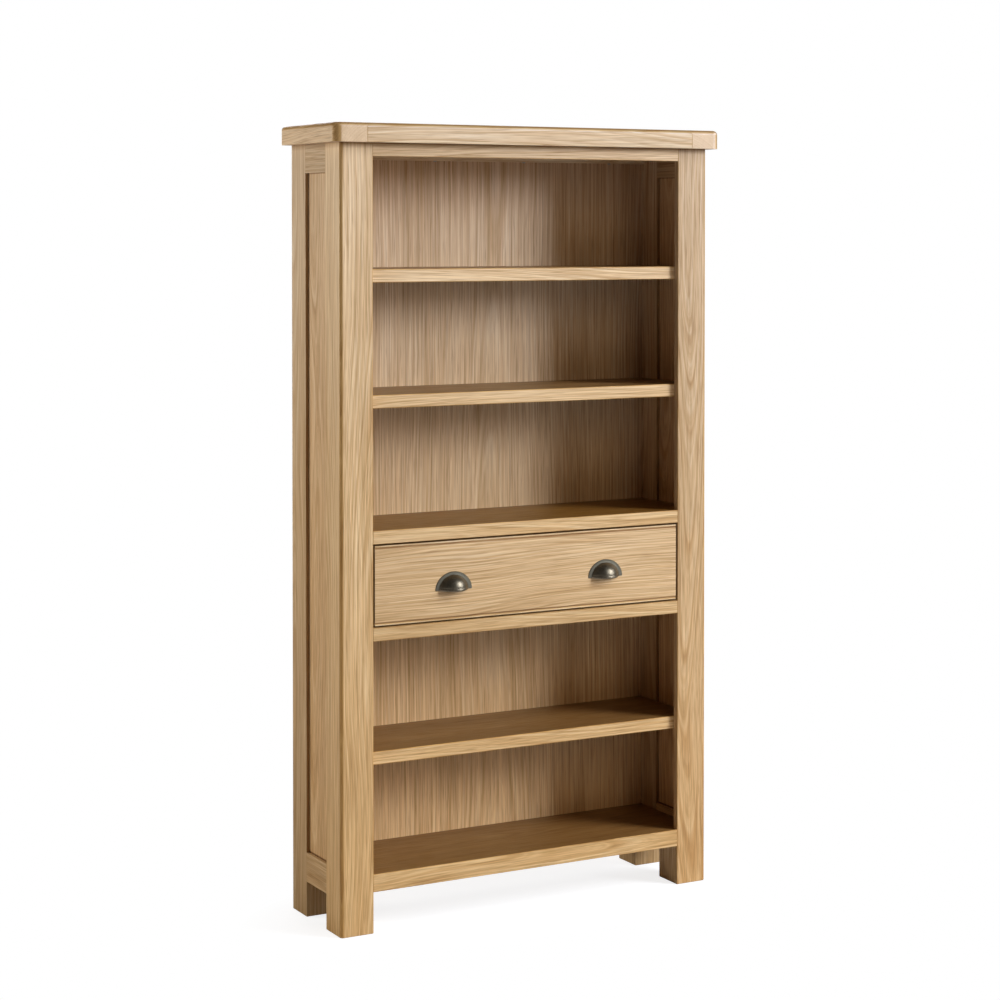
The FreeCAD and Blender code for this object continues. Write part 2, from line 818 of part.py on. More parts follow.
def make_drawer_bay():
    """The runners, side guides and kickers that carry and steer the drawer."""
    start = total(DRAWER_FRONT_BACK, size("stop_clearance"))
    length = less(BACK_PANEL_FACE, start)
    floor = size("drawer_floor_height")
    board_bottom = less(DRAWER_BOARD_TOP, size("board_thickness"))
    kicker_bottom = total(DRAWER_SIDE_TOP, size("drawer_side_clearance"))
    for name, side in SIDES.items():
        strip_x = less(0, GUIDE_FACE) if side < 0 else less(GUIDE_FACE, size("runner_width"))
        body = new_body(f"drawer_runner_{name}", strip_x, start, floor)
        add_block(body, (0, 0, 0), (size("runner_width"), length, size("runner_height")))
        body = new_body(f"drawer_kicker_{name}", strip_x, start, kicker_bottom)
        add_block(body, (0, 0, 0), (size("runner_width"), length, less(board_bottom, kicker_bottom)))
        guide_width = less(SIDE_INNER, GUIDE_FACE)
        guide_x = less(0, SIDE_INNER) if side < 0 else GUIDE_FACE
        body = new_body(f"drawer_guide_{name}", guide_x, FACE_BACK, floor)
        add_block(body, (0, 0, 0), (guide_width, BOARD_DEPTH, size("guide_height")))


def make_drawer():
    """The drawer: a beaded front, two sides, a back and a thin bottom."""
    make_drawer_front()
    rear = total(DRAWER_FRONT_BACK, size("drawer_box_depth"))
    thickness = size("drawer_side_thickness")
    groove = size("drawer_bottom_groove")
    slot = total(size("drawer_bottom_thickness"), twice(JOINT))
    side_start = less(DRAWER_FRONT_BACK, size("drawer_side_housing"))
    for name, side in SIDES.items():
        x = less(0, DRAWER_HALF) if side < 0 else DRAWER_INNER_HALF
        body = new_body(f"drawer_side_{name}", x, side_start, DRAWER_SIDE_BOTTOM)
        length = less(rear, side_start)
        add_block(body, (0, 0, 0), (thickness, length, size("drawer_side_height")))
        groove_x = less(thickness, groove) if side < 0 else 0
        cut_block(
            body,
            (groove_x, 0, less(size("drawer_bottom_rise"), JOINT)),
            (groove, length, slot),
        )
    bottom_top = total(DRAWER_BOTTOM_PLACE, size("drawer_bottom_thickness"))
    body = new_body(
        "drawer_back",
        less(0, DRAWER_INNER_HALF),
        less(rear, size("drawer_back_thickness")),
        bottom_top,
    )
    add_block(
        body,
        (0, 0, 0),
        (twice(DRAWER_INNER_HALF), size("drawer_back_thickness"), less(DRAWER_SIDE_TOP, bottom_top)),
    )
    reach = less(groove, JOINT)
    half_bottom = total(DRAWER_INNER_HALF, reach)
    front_edge = less(DRAWER_FRONT_BACK, reach)
    body = new_body("drawer_bottom", less(0, half_bottom), front_edge, DRAWER_BOTTOM_PLACE)
    add_block(
        body,
        (0, 0, 0),
        (twice(half_bottom), total(size("drawer_box_depth"), reach), size("drawer_bottom_thickness")),
    )


def make_drawer_front():
    """The drawer front: a bead and quirk along both long edges, and housings for the other boards."""
    width = twice(DRAWER_HALF)
    height = DRAWER_FRONT_HEIGHT
    bead = size("bead_width")
    quirk = size("quirk_width")
    depth = size("quirk_depth")
    body = new_body("drawer_front", less(0, DRAWER_HALF), DRAWER_FACE, DRAWER_FRONT_BOTTOM)
    add_block(body, (0, 0, 0), (width, size("drawer_front_thickness"), height))
    for z in (bead, less(height, bead, quirk)):
        cut_block(body, (0, 0, z), (width, depth, quirk))
    housing = size("drawer_side_housing")
    side_height = total(size("drawer_side_height"), twice(JOINT))
    side_bottom = less(DRAWER_SIDE_BOTTOM, DRAWER_FRONT_BOTTOM, JOINT)
    side_width = total(size("drawer_side_thickness"), JOINT)
    for x in (0, less(width, side_width)):
        cut_block(
            body,
            (x, less(size("drawer_front_thickness"), housing), side_bottom),
            (side_width, housing, side_height),
        )
    groove = size("drawer_bottom_groove")
    cut_block(
        body,
        (
            less(size("drawer_side_thickness"), groove),
            less(size("drawer_front_thickness"), groove),
            less(DRAWER_BOTTOM_PLACE, DRAWER_FRONT_BOTTOM, JOINT),
        ),
        (
            less(width, twice(less(size("drawer_side_thickness"), groove))),
            groove,
            total(size("drawer_bottom_thickness"), twice(JOINT)),
        ),
    )
    for x, z in pull_screw_places():
        drill(
            body,
            "XZ_Plane",
            (total(x, DRAWER_HALF), 0, less(z, DRAWER_FRONT_BOTTOM)),
            total(size("pull_screw_radius"), size("screw_clearance")),
            size("drawer_front_thickness"),
            True,
        )

    def bead_edge(edge, middle):
        from_rim = min(middle.z, value(height) - middle.z)
        on_bead = near(from_rim, 0) or near(from_rim, SIZES["bead_width"])
        return runs_along(edge, 0) and near(middle.y, 0) and on_bead

    round_edges(body, size("bead_radius"), bead_edge)


def pull_centres():
    """The places along X of the middles of the two cup pulls."""
    return {name: f"({side} * {half(size('pull_spacing'))})" for name, side in SIDES.items()}


def pull_bottom():
    """The height of the lower edge of the cup pulls."""
    return total(DRAWER_FRONT_BOTTOM, size("pull_rise"))


def pull_screw_places():
    """The place along X and Z of every screw of the cup pulls."""
    offset = half(size("pull_screw_spacing"))
    z = total(pull_bottom(), size("pull_screw_rise"))
    return [(f"({x} + {sign} * {offset})", z) for x in pull_centres().values() for sign in (-1, 1)]


# The dome of a cup pull is turned about an axis along X, which lies behind the drawer's face. Its
# outline is an arc that meets the face at the dome's two ends.
PULL_TURN = f"({size('pull_dome_height')} ^ 2 / {size('pull_projection')})"
PULL_AXIS_SETBACK = half(less(PULL_TURN, size("pull_projection")))
PULL_MIDDLE_RADIUS = half(total(PULL_TURN, size("pull_projection")))
PULL_ARC_RADIUS = half(
    f"({size('pull_dome_half_width')} ^ 2 / {size('pull_projection')} + {size('pull_projection')})"
)
PULL_ARC_DROP = less(PULL_ARC_RADIUS, PULL_MIDDLE_RADIUS)


def make_lens(label, grow):
    """A full turn of the dome's arc about its axis, with the arc grown by a wall or a flange."""
    sketch = doc.addObject("Sketcher::SketchObject", f"{label}_outline")
    drop = value(PULL_ARC_DROP)
    radius = value(total(PULL_ARC_RADIUS, grow))
    reach = (radius**2 - drop**2) ** 0.5
    high = FreeCAD.Vector(0, radius - drop)
    ends = [FreeCAD.Vector(x, 0) for x in (-reach, reach)]
    sketch.addGeometry(Part.Arc(ends[1], high, ends[0]))
    sketch.addGeometry(Part.LineSegment(ends[0], ends[1]))
    for line_end, arc_end in ((1, 2), (2, 1)):
        sketch.addConstraint(Sketcher.Constraint("Coincident", 1, line_end, 0, arc_end))
    sketch.addConstraint(Sketcher.Constraint("PointOnObject", 0, 3, -2))
    sketch.addConstraint(Sketcher.Constraint("PointOnObject", 1, 1, -1))
    sketch.addConstraint(Sketcher.Constraint("PointOnObject", 1, 2, -1))
    named = {
        "drop": (Sketcher.Constraint("DistanceY", 0, 3, -1, 1, drop), PULL_ARC_DROP),
        "radius": (Sketcher.Constraint("Radius", 0, radius), total(PULL_ARC_RADIUS, grow)),
    }
    for name, (constraint, term) in named.items():
        sketch.renameConstraint(sketch.addConstraint(constraint), name)
        sketch.setExpression(f"Constraints.{name}", term)
    lens = doc.addObject("Part::Revolution", f"{label}_lens")
    lens.Source = sketch
    lens.Axis = (1, 0, 0)
    lens.Angle = 360
    lens.Solid = True
    lens.setExpression("Placement.Base.y", PULL_AXIS_SETBACK)
    return lens


def make_box(label, x, y, z, length, width, height):
    """A box bound to expressions."""
    box = doc.addObject("Part::Box", label)
    for name, term in (("Length", length), ("Width", width), ("Height", height)):
        box.setExpression(name, str(term))
    place(box, x, y, z)
    return box


def make_rod(label, radius, length, direction, x, y, z):
    """A cylinder bound to expressions that starts at a place and points one way."""
    rod = doc.addObject("Part::Cylinder", label)
    rod.setExpression("Radius", str(radius))
    rod.setExpression("Height", str(length))
    rod.Placement.Rotation = FreeCAD.Rotation(FreeCAD.Vector(0, 0, 1), FreeCAD.Vector(*direction))
    place(rod, x, y, z)
    return rod


def combine(kind, label, base, tool):
    """A cut or a common of two objects."""
    result = doc.addObject(f"Part::{kind}", label)
    result.Base = base
    result.Tool = tool
    return result


def make_pull(name, centre):
    """A cup pull: a thin half dome with a flange on the drawer and a boss for each screw."""
    label = f"cup_pull_{name}"
    outer = make_lens(f"{label}_outer", 0)
    inner = make_lens(f"{label}_inner", less(0, size("pull_wall")))
    rim = make_lens(f"{label}_rim", size("pull_flange_width"))
    span = total(size("pull_dome_half_width"), twice(size("pull_flange_width")))
    high = total(size("pull_dome_height"), twice(size("pull_flange_width")))
    front = make_box(
        f"{label}_front_space", less(0, span), less(0, size("pull_projection")), less(0, high),
        twice(span), size("pull_projection"), twice(high),
    )
    slab = make_box(
        f"{label}_slab", less(0, span), less(0, size("pull_flange_thickness")), 0,
        twice(span), size("pull_flange_thickness"), high,
    )
    below = make_box(
        f"{label}_below_lip", less(0, span), 0, 0,
        twice(span), twice(size("pull_projection")), high,
    )
    below.Placement.Rotation = FreeCAD.Rotation(FreeCAD.Vector(1, 0, 0), 190)
    below.setExpression(
        "Placement.Rotation.Angle",
        f"180 deg + atan({size('pull_lip_drop')} / {size('pull_projection')})",
    )
    rounded = combine("Common", f"{label}_rounded", outer, front)
    dome = combine("Cut", f"{label}_dome", rounded, below)
    flange = combine("Common", f"{label}_flange", rim, slab)
    solid = doc.addObject("Part::MultiFuse", f"{label}_solid")
    solid.Shapes = [dome, flange]
    shell = combine("Cut", f"{label}_shell", solid, inner)
    pieces = [shell]
    holes = []
    for end in (-1, 1):
        x = f"({end} * {half(size('pull_screw_spacing'))})"
        rod = make_rod(
            f"{label}_boss", size("pull_boss_radius"), size("pull_projection"),
            (0, -1, 0), x, 0, size("pull_screw_rise"),
        )
        pieces.append(combine("Common", f"{label}_boss_in_dome", rod, outer))
        holes.append(make_rod(
            f"{label}_hole", total(size("pull_screw_radius"), size("screw_clearance")),
            total(size("pull_screw_grip"), size("screw_clearance")),
            (0, -1, 0), x, 0, size("pull_screw_rise"),
        ))
    whole = doc.addObject("Part::MultiFuse", f"{label}_whole")
    whole.Shapes = pieces
    drilled = combine("Cut", f"{label}_drilled", whole, holes[0])
    pull = combine("Cut", label, drilled, holes[1])
    pull.Label = label
    place(pull, centre, DRAWER_FACE, pull_bottom())
    subparts.append(pull)


def make_group(label, members):
    """Separate like pieces that share one node."""
    group = doc.addObject("Part::Compound", label)
    group.Label = label
    group.Links = members
    subparts.append(group)


def make_screw(label, kind, length, direction, x, y, z):
    """A screw whose head bears on the face at its place and whose shank points one way."""
    back = [-part for part in direction]
    shank = make_rod(f"{label}_shank", size(f"{kind}_radius"), length, direction, x, y, z)
    head = make_rod(
        f"{label}_head", size(f"{kind}_head_radius"), size(f"{kind}_head_height"), back, x, y, z
    )
    screw = doc.addObject("Part::MultiFuse", label)
    screw.Shapes = [shank, head]
    return screw


def make_fasteners():
    """All screws, and the pins under the shelves."""
    screws = []
    for x, z in back_screw_places():
        y = total(BACK_PANEL_FACE, size("back_panel_thickness"))
        screws.append(make_screw("back_screw", "back_screw", size("back_screw_length"), (0, -1, 0), x, y, z))
    make_group("back_panel_screws", screws)
    screws = []
    for holder, _, x, y in top_screws():
        z = top_screw_seat(holder)
        screws.append(make_screw("top_screw", "top_screw", size("top_screw_length"), (0, 0, 1), x, y, z))
    make_group("top_fixing_screws", screws)
    length = total(size("drawer_front_thickness"), size("pull_screw_grip"))
    screws = []
    for x, z in pull_screw_places():
        screws.append(make_screw("pull_screw", "pull_screw", length, (0, -1, 0), x, DRAWER_FRONT_BACK, z))
    make_group("cup_pull_screws", screws)
    pins = []
    length = less(total(size("pin_hole_depth"), size("pin_reach")), size("pin_clearance"))
    for shelf_top in SHELF_TOPS.values():
        z = less(shelf_top, size("shelf_thickness"), size("pin_radius"), size("pin_clearance"))
        for side in SIDES.values():
            tip = less(SIDE_INNER, size("pin_reach"))
            x = f"({side} * {tip})"
            for y in (FRONT_PIN_PLACE, REAR_PIN_PLACE):
                pins.append(make_rod("shelf_pin", size("pin_radius"), length, (side, 0, 0), x, y, z))
    make_group("shelf_pins", pins)


def check_document():
    """Stops with a plain message if a feature failed or cut nothing."""
    for thing in doc.Objects:
        faults = [state for state in thing.State if state in ("Invalid", "Error")]
        if faults:
            raise RuntimeError(f"{thing.Label}: {faults}")
    for thing in doc.Objects:
        if thing.TypeId == "PartDesign::Pocket":
            if thing.Shape.Volume > thing.BaseFeature.Shape.Volume - 1e-3:
                raise RuntimeError(f"{thing.Label} cuts nothing")


def write_parts():
    """Writes each sub-part to its own file."""
    os.makedirs("parts", exist_ok=True)
    for part in subparts:
        if part.Shape.isNull() or not part.Shape.isValid():
            raise RuntimeError(f"{part.Label} has no sound shape")
    for part in subparts:
        part.Shape.exportStep(f"parts/{part.Label}.step")


for end in ("front", "rear"):
    for name, side in SIDES.items():
        make_post(end, name, side)
for name, side in SIDES.items():
    make_side_rail(
        f"side_top_rail_{name}", side, SIDE_TOP_RAIL_BOTTOM, size("side_top_rail_height"), False
    )
    make_side_rail(
        f"side_bottom_rail_{name}", side, size("side_rail_floor_gap"), size("side_bottom_rail_height"), True
    )
    make_side_panel(name, side)
for label, (top, height) in FRONT_RAILS.items():
    make_front_rail(label, top, height)
make_boards()
for name, top in SHELF_TOPS.items():
    make_shelf(name, top)
make_back()
make_top()
make_battens()
make_drawer_bay()
make_drawer()
for name, centre in pull_centres().items():
    make_pull(name, centre)
make_fasteners()
doc.recompute()
check_document()
write_parts()
print(len(subparts), "sub-parts written")
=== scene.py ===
"""The looks of an oak bookcase with one drawer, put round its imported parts.

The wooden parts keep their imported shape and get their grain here. The cup pulls, screws and shelf
pins are modelled again, with what a plain solid lacks. Lengths are metres, unless named as mm.
"""

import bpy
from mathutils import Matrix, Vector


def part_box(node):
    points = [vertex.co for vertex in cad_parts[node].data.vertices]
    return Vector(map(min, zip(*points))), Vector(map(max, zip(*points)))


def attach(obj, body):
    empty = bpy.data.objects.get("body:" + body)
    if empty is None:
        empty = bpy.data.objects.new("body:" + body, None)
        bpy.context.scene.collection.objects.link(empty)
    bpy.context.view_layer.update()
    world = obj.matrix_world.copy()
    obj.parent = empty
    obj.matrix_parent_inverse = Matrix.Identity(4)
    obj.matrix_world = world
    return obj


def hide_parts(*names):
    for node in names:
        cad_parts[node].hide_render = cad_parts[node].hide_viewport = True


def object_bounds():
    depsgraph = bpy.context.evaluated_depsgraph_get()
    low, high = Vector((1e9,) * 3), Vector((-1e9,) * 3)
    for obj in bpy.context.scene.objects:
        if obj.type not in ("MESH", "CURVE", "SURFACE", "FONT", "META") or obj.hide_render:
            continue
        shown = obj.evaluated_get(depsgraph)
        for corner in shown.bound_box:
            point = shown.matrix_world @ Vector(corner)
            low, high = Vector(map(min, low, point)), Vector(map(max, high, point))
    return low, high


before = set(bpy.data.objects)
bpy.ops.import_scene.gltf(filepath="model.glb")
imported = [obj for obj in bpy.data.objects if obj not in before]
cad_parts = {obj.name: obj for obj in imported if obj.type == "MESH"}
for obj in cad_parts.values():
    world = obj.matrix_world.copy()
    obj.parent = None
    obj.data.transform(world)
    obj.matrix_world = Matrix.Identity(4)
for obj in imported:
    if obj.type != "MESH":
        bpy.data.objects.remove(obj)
PACKED_BOX = [list(corner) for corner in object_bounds()]

import math

import bpy
from bpy.props import FloatProperty, FloatVectorProperty, PointerProperty
from mathutils import Euler, Matrix, Vector

bl_info = {
    "name": "Oak bookcase",
    "version": (1, 0, 0),
    "blender": (4, 5, 0),
    "location": "3D view, sidebar, Bookcase tab",
    "description": "Dresses the packed parts of an oak bookcase with one drawer",
    "category": "Object",
}

MM = 0.001
WHITE = (1.0, 1.0, 1.0, 1.0)


def linear(code):
    """The linear colour, with alpha, of an sRGB hex code."""
    parts = [int(code[i : i + 2], 16) / 255 for i in (1, 3, 5)]
    return tuple(c / 12.92 if c <= 0.04045 else ((c + 0.055) / 1.055) ** 2.4 for c in parts) + (1.0,)


def colour(name, description, code):
    """A colour that the user may change."""
    return FloatVectorProperty(
        name=name, description=description, default=linear(code), subtype="COLOR", size=4, min=0, max=1
    )


def length(name, description, mm):
    """A length that the user may change."""
    return FloatProperty(
        name=name, description=description, default=mm * MM, min=0, unit="LENGTH", precision=4
    )


def power(name, description, watts):
    """The power of a lamp that the user may change."""
    return FloatProperty(name=name, description=description, default=watts, min=0, unit="POWER")


class BookcaseWood(bpy.types.PropertyGroup):
    """Colours of the oak and of the drawer's plywood."""

    light: colour("Light fibre", "Palest streaks of the lacquered oak", "#f6dfbc")
    body: colour("Body", "Most of the lacquered oak", "#eacda4")
    streak: colour("Streak", "Darker streaks of the lacquered oak", "#d8b688")
    planed: colour("Planed oak", "Most of the oak that has no lacquer", "#d3b58c")
    planed_streak: colour("Planed streak", "Darker streaks of the oak that has no lacquer", "#b9946a")
    ply: colour("Plywood", "Face veneer of the drawer's bottom", "#dcc39c")
    ply_streak: colour("Plywood streak", "Darker streaks of that veneer", "#c6a67a")


class BookcaseMetal(bpy.types.PropertyGroup):
    """Colours of the metal fittings."""

    bronze: colour("Bronze", "Dark patina of the cup pulls", "#90897b")
    rim: colour("Worn rim", "Paler metal where the cup pulls are worn", "#97958a")
    zinc: colour("Zinc", "Plating of the screws", "#b9bcba")
    nickel: colour("Nickel", "Plating of the shelf pins", "#c4c0b6")


class BookcaseFittings(bpy.types.PropertyGroup):
    """Sizes of the fittings that are modelled here."""

    dome_half_width: length("Dome half width", "Half the width of a cup pull's dome on the drawer", 38.6)
    dome_height: length("Dome height", "Height of the dome above the pull's lower edge", 34.4)
    projection: length("Projection", "How far a cup pull stands out from the drawer", 21)
    lip_drop: length("Lip drop", "How far the lip hangs below the ends of the rim", 2.8)
    wall: length("Wall", "Thickness of the cast shell and of its rim", 1.6)
    lip_band: length("Lip band", "Height of the groove and rolled band along the lip", 7)


class BookcaseStage(bpy.types.PropertyGroup):
    """Power of the studio's lamps."""

    key: power("Key", "Large soft lamp far to the right of the front", 515)
    key_high: power("High key", "Large soft lamp at the front, right and much higher", 540)
    glint: power("Glint", "Smaller lamp on the right, which shines on the cup pulls", 128)
    fill: power("Fill", "Weak warm lamp straight ahead, for the depth of the bays", 36)
    left: power("Left", "Soft lamp on the left, a little behind", 39)
    rear: power("Rear", "Lamp behind the bookcase", 60)


def settings():
    """All that a user may change, as kept on the scene."""
    return bpy.context.scene


def add(tree, kind, inputs=(), stops=(), **values):
    """Adds a node to a material, with its values set and its inputs set or linked."""
    node = tree.nodes.new(kind)
    for name, value in values.items():
        setattr(node, name, value)
    for name, value in dict(inputs).items():
        if isinstance(value, bpy.types.Node):
            value = value.outputs[0]
        if isinstance(value, bpy.types.NodeSocket):
            tree.links.new(value, node.inputs[name])
        else:
            node.inputs[name].default_value = value
    for place, (position, tint) in enumerate(stops):
        ramp = node.color_ramp.elements
        stop = ramp[place] if place < 2 else ramp.new(position)
        stop.position = position
        stop.color = tint
    return node


def new_material(name):
    """An empty material, and its node tree."""
    material = bpy.data.materials.new(name)
    material.use_nodes = True
    material.node_tree.nodes.clear()
    return material, material.node_tree


def dress(node, material):
    """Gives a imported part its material."""
    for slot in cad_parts[node].material_slots:
        slot.material = material


# Wood

# What turns each direction of the assembly onto Z, along which the grain runs in a pattern
TO_GRAIN = {
    "X": Matrix.Rotation(math.radians(-90), 3, "Y"),
    "Y": Matrix.Rotation(math.radians(90), 3, "X"),
    "Z": Matrix.Identity(3),
}

# What the dark stain, with the shade within the bays painted in, leaves of the red, green and blue of oak:
# the usual coat, and the one over the drawer
STAIN_AND_SHADE = (0.35, 0.27, 0.175)
DEEP_STAIN_AND_SHADE = (0.31, 0.21, 0.075)


def tinted(tree, value, plain, full, tint):
    """A colour to multiply with: white where a value is plain, and a tint where it is full."""
    share = add(tree, "ShaderNodeMapRange", {"Value": value, "From Min": plain, "From Max": full})
    return add(tree, "ShaderNodeMix", {0: share, 6: WHITE, 7: (*tint, 1)}, data_type="RGBA").outputs[2]


def mouldings(tree, place, low, high):
    """What tells a drawer front's edges, beads and quirks apart, as two colours to multiply with.

    Shade is painted round the edges, where the gap is, and in the quirks, and a highlight is painted on the
    beads.
    """
    spots = add(tree, "ShaderNodeSeparateXYZ", {0: place.outputs["Object"]})
    # Painted shade at the edges and in the quirks, and a painted highlight on the beads
    edge, bead, quirk = (0.12, 0.08, 0.05, 1), (1.18, 1.33, 1.58, 1), (0.56, 0.46, 0.36, 1)
    # Colours by the distance in mm from the nearest edge
    along = ((0, edge), (0.8, edge), (1.2, bead), (4.6, bead), (5.2, quirk), (8.0, quirk), (9.2, WHITE))
    at_ends = ((0, edge), (0.9, edge), (1.6, WHITE))
    reach = 10
    found = []
    for axis, first, last, steps in (("Z", low.z, high.z, along), ("X", low.x, high.x, at_ends)):
        middle = (first + last) / 2
        centred = add(tree, "ShaderNodeMath", {0: spots.outputs[axis], 1: middle}, operation="SUBTRACT")
        off = add(tree, "ShaderNodeMath", {0: centred}, operation="ABSOLUTE")
        depth = add(tree, "ShaderNodeMapRange", {
            "Value": off, "From Min": last - middle, "From Max": last - middle - reach * MM,
        })
        found.append(add(tree, "ShaderNodeValToRGB", {"Fac": depth.outputs["Result"]}, stops=[
            (mm / reach, tint) for mm, tint in steps
        ]))
    return found


def painted_shade_and_highlight(tree, node, place, spots, turned_to, low):
    """Painted shade and highlight on a part: colours to multiply with, each with its share.

    Spots are the coordinates along X, Y and Z, and turned_to how far a face is turned to each.
    """
    layers = []
    if node.startswith("top_"):
        # Painted shade on the top's upper arris, and on the one at its right end, where they face up or to
        # the right; a painted highlight on the half of their rounding that faces the room
        arris_shade, arris_highlight = (0.64, 0.61, 0.55, 1), (1.16, 1.30, 1.75, 1)
        slants, share = [turned_to.outputs["Z"]], 1.0
        if node.endswith(("left", "right")):
            slant = add(tree, "ShaderNodeSeparateXYZ", {0: place.outputs["Normal"]}).outputs["X"]
            if node.endswith("right"):
                slants.append(slant)
            else:
                # The painted shade and highlight are left off where the left end faces left
                share = add(tree, "ShaderNodeMapRange", {
                    "Value": slant, "From Min": -0.45, "From Max": -0.15,
                })
        for slant in slants:
            painted_arris_light = add(tree, "ShaderNodeValToRGB", {"Fac": slant}, stops=(
                (0.05, WHITE),
                (0.16, arris_highlight),
                (0.42, arris_highlight),
                (0.56, arris_shade),
                (0.93, arris_shade),
                (1.0, WHITE),
            ))
            layers.append((painted_arris_light, share))
        return layers
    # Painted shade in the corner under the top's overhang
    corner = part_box("top_centre_board")[0].z
    reach, tint = 14, (0.50, 0.40, 0.28)
    if node == "back_panel":
        # The painted shadow of the top reaches far down the back, darker and redder at its upper part
        reach, tint = 220, (0.76, 0.64, 0.52)
    height = spots.outputs["Z"]
    layers.append((tinted(tree, height, corner - reach * MM, corner - 1 * MM, tint), 1.0))
    if node.startswith("side_panel"):
        # Painted shade in the recess along the rails, most of all along the lower one
        lower, upper = (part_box(node.replace("panel", f"{level}_rail")) for level in ("bottom", "top"))
        for edge, reach, tint in (
            (lower[1].z, 5, (0.30, 0.20, 0.14)),
            (upper[0].z, -3, (0.55, 0.45, 0.36)),
        ):
            line = tinted(tree, height, edge + reach * MM, edge + 0.6 * reach * MM, tint)
            layers.append((line, 1.0))
    if node.startswith("rear_post"):
        # Painted shade on the narrow recessed edge beside the side's panel, above the foot
        narrow = add(tree, "ShaderNodeMapRange", {
            "Value": spots.outputs["Y"], "From Min": low.y + 0.6 * MM, "From Max": low.y + 0.2 * MM,
        })
        above = add(tree, "ShaderNodeMapRange", {"Value": height, "From Min": 0.13, "From Max": 0.14})
        share = add(tree, "ShaderNodeMath", {0: narrow, 1: above}, operation="MULTIPLY")
        layers.append(((0.62, 0.50, 0.34, 1), share))
    return layers


def oak(
    node, grain, pith, tilt, ring, sway, leaf=0, figure=0.6, finish="lacquered", tone=(1, 1, 1), foot=1,
    waves=(0.2, 0.2), banded=False, moulded=False,
):
    """Gives a part its wood: rings round a pith, streaks along the grain, fibres and pores.

    Grain is the direction of the grain, pith how far the rings' centre lies from the part's middle, in
    mm, and tilt how many degrees the grain is off, about X and Y. Ring is the mean width of a year and
    sway how far the rings wander, both in mm. Leaf is the width in mm of a veneer's leaves, which
    mirror each other. Figure is how much the years show. Tone makes this part's wood darker or warmer
    than the rest, and foot makes its lower end lighter or darker. Waves are the shares of the sway that
    its fibres follow, across X and Y of the pattern. A banded part has a face of untoned wood in front.
    Moulded stands for the drawer's front, with its bead and quirk, and paints shade round its edges and in
    its quirks and a highlight on its beads.
    """
    wood = settings().bookcase_wood
    looks = {
        # Satin lacquer over sanded solid oak: a soft sheen, pores still open
        "lacquered": ("Oak, sanded and satin lacquered", wood.light, wood.body, wood.streak, 0.40, 0.14),
        # Planed oak with no lacquer: drier, more matt and a little greyer
        "planed": ("Oak, planed and left bare", wood.planed, wood.planed, wood.planed_streak, 0.62, 0.22),
        # Rotary cut face veneer of thin plywood, sanded and bare
        "ply": ("Plywood, birch faced and sanded", wood.ply, wood.ply, wood.ply_streak, 0.58, 0.10),
    }
    name, light, body, streak, sheen, relief = looks[finish]
    if not banded:
        light, body, streak = ([c * t for c, t in zip(hue, (*tone, 1))] for hue in (light, body, streak))
    low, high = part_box(node)
    turn = Euler([math.radians(angle) for angle in (*tilt, 0)]).to_matrix() @ TO_GRAIN[grain]
    centre = (low + high) / 2 + Vector(pith) * MM
    material, tree = new_material(f"{name}, {node.replace('_', ' ')}")
    place = add(tree, "ShaderNodeTexCoord")
    along = add(tree, "ShaderNodeMapping", {
        "Vector": place.outputs["Object"],
        "Location": -(turn @ centre),
        "Rotation": turn.to_euler(),
    })
    # The trunk is never straight: its rings wander within a centimetre or two over half a metre
    bends = add(tree, "ShaderNodeVectorMath", {0: along, 1: (3.2, 3.2, 1.1)}, operation="MULTIPLY")
    drift = add(tree, "ShaderNodeTexNoise", {"Vector": bends, "Scale": 1, "Detail": 1.6, "Roughness": 0.42})
    centred = add(
        tree, "ShaderNodeVectorMath", {0: drift.outputs["Color"], 1: (0.5, 0.5, 0.5)}, operation="SUBTRACT"
    )
    wander = 6 * sway * MM
    inside = add(
        tree, "ShaderNodeVectorMath", {0: centred, 1: (wander, wander, 0), 2: along}, operation="MULTIPLY_ADD"
    )
    # Fibres hardly dive out of a face, so they wander with it more than into it
    held = add(
        tree, "ShaderNodeVectorMath",
        {0: centred, 1: (wander * waves[0], wander * waves[1], 0), 2: along}, operation="MULTIPLY_ADD",
    )
    parts = add(tree, "ShaderNodeSeparateXYZ", {0: inside})
    sideways = parts.outputs["X"]
    if leaf:
        sideways = add(tree, "ShaderNodeMath", {0: sideways, 1: leaf * MM}, operation="PINGPONG")
    across = add(tree, "ShaderNodeCombineXYZ", {"X": sideways, "Y": parts.outputs["Y"]})
    radius = add(tree, "ShaderNodeVectorMath", {0: across}, operation="LENGTH")
    years = add(
        tree, "ShaderNodeMath", {0: radius.outputs["Value"], 1: 1 / (ring * MM)}, operation="MULTIPLY"
    )
    # No two years are alike: bands a few mm wide, up to half a metre long, follow the rings
    band_place = add(tree, "ShaderNodeCombineXYZ", {"X": years, "Z": parts.outputs["Z"]})
    band_scale = add(tree, "ShaderNodeVectorMath", {0: band_place, 1: (2.7, 0, 2.6)}, operation="MULTIPLY")
    band = add(tree, "ShaderNodeTexNoise", {"Vector": band_scale, "Scale": 1, "Detail": 3, "Roughness": 0.6})
    strands = add(tree, "ShaderNodeValToRGB", {"Fac": band}, stops=(
        (0.33, streak),
        (0.50, body),
        (0.66, light),
    ))
    # A year starts with a band of open pores, a thin darker line, and ends with dense wood
    season = add(tree, "ShaderNodeMath", {0: years}, operation="FRACT")
    rings = add(tree, "ShaderNodeValToRGB", {"Fac": season}, stops=(
        (0.0, (0.95, 0.92, 0.87, 1)),
        (0.08, (0.80, 0.71, 0.60, 1)),
        (0.20, (0.88, 0.82, 0.74, 1)),
        (0.40, WHITE),
        (1.0, (0.98, 0.97, 0.95, 1)),
    ))
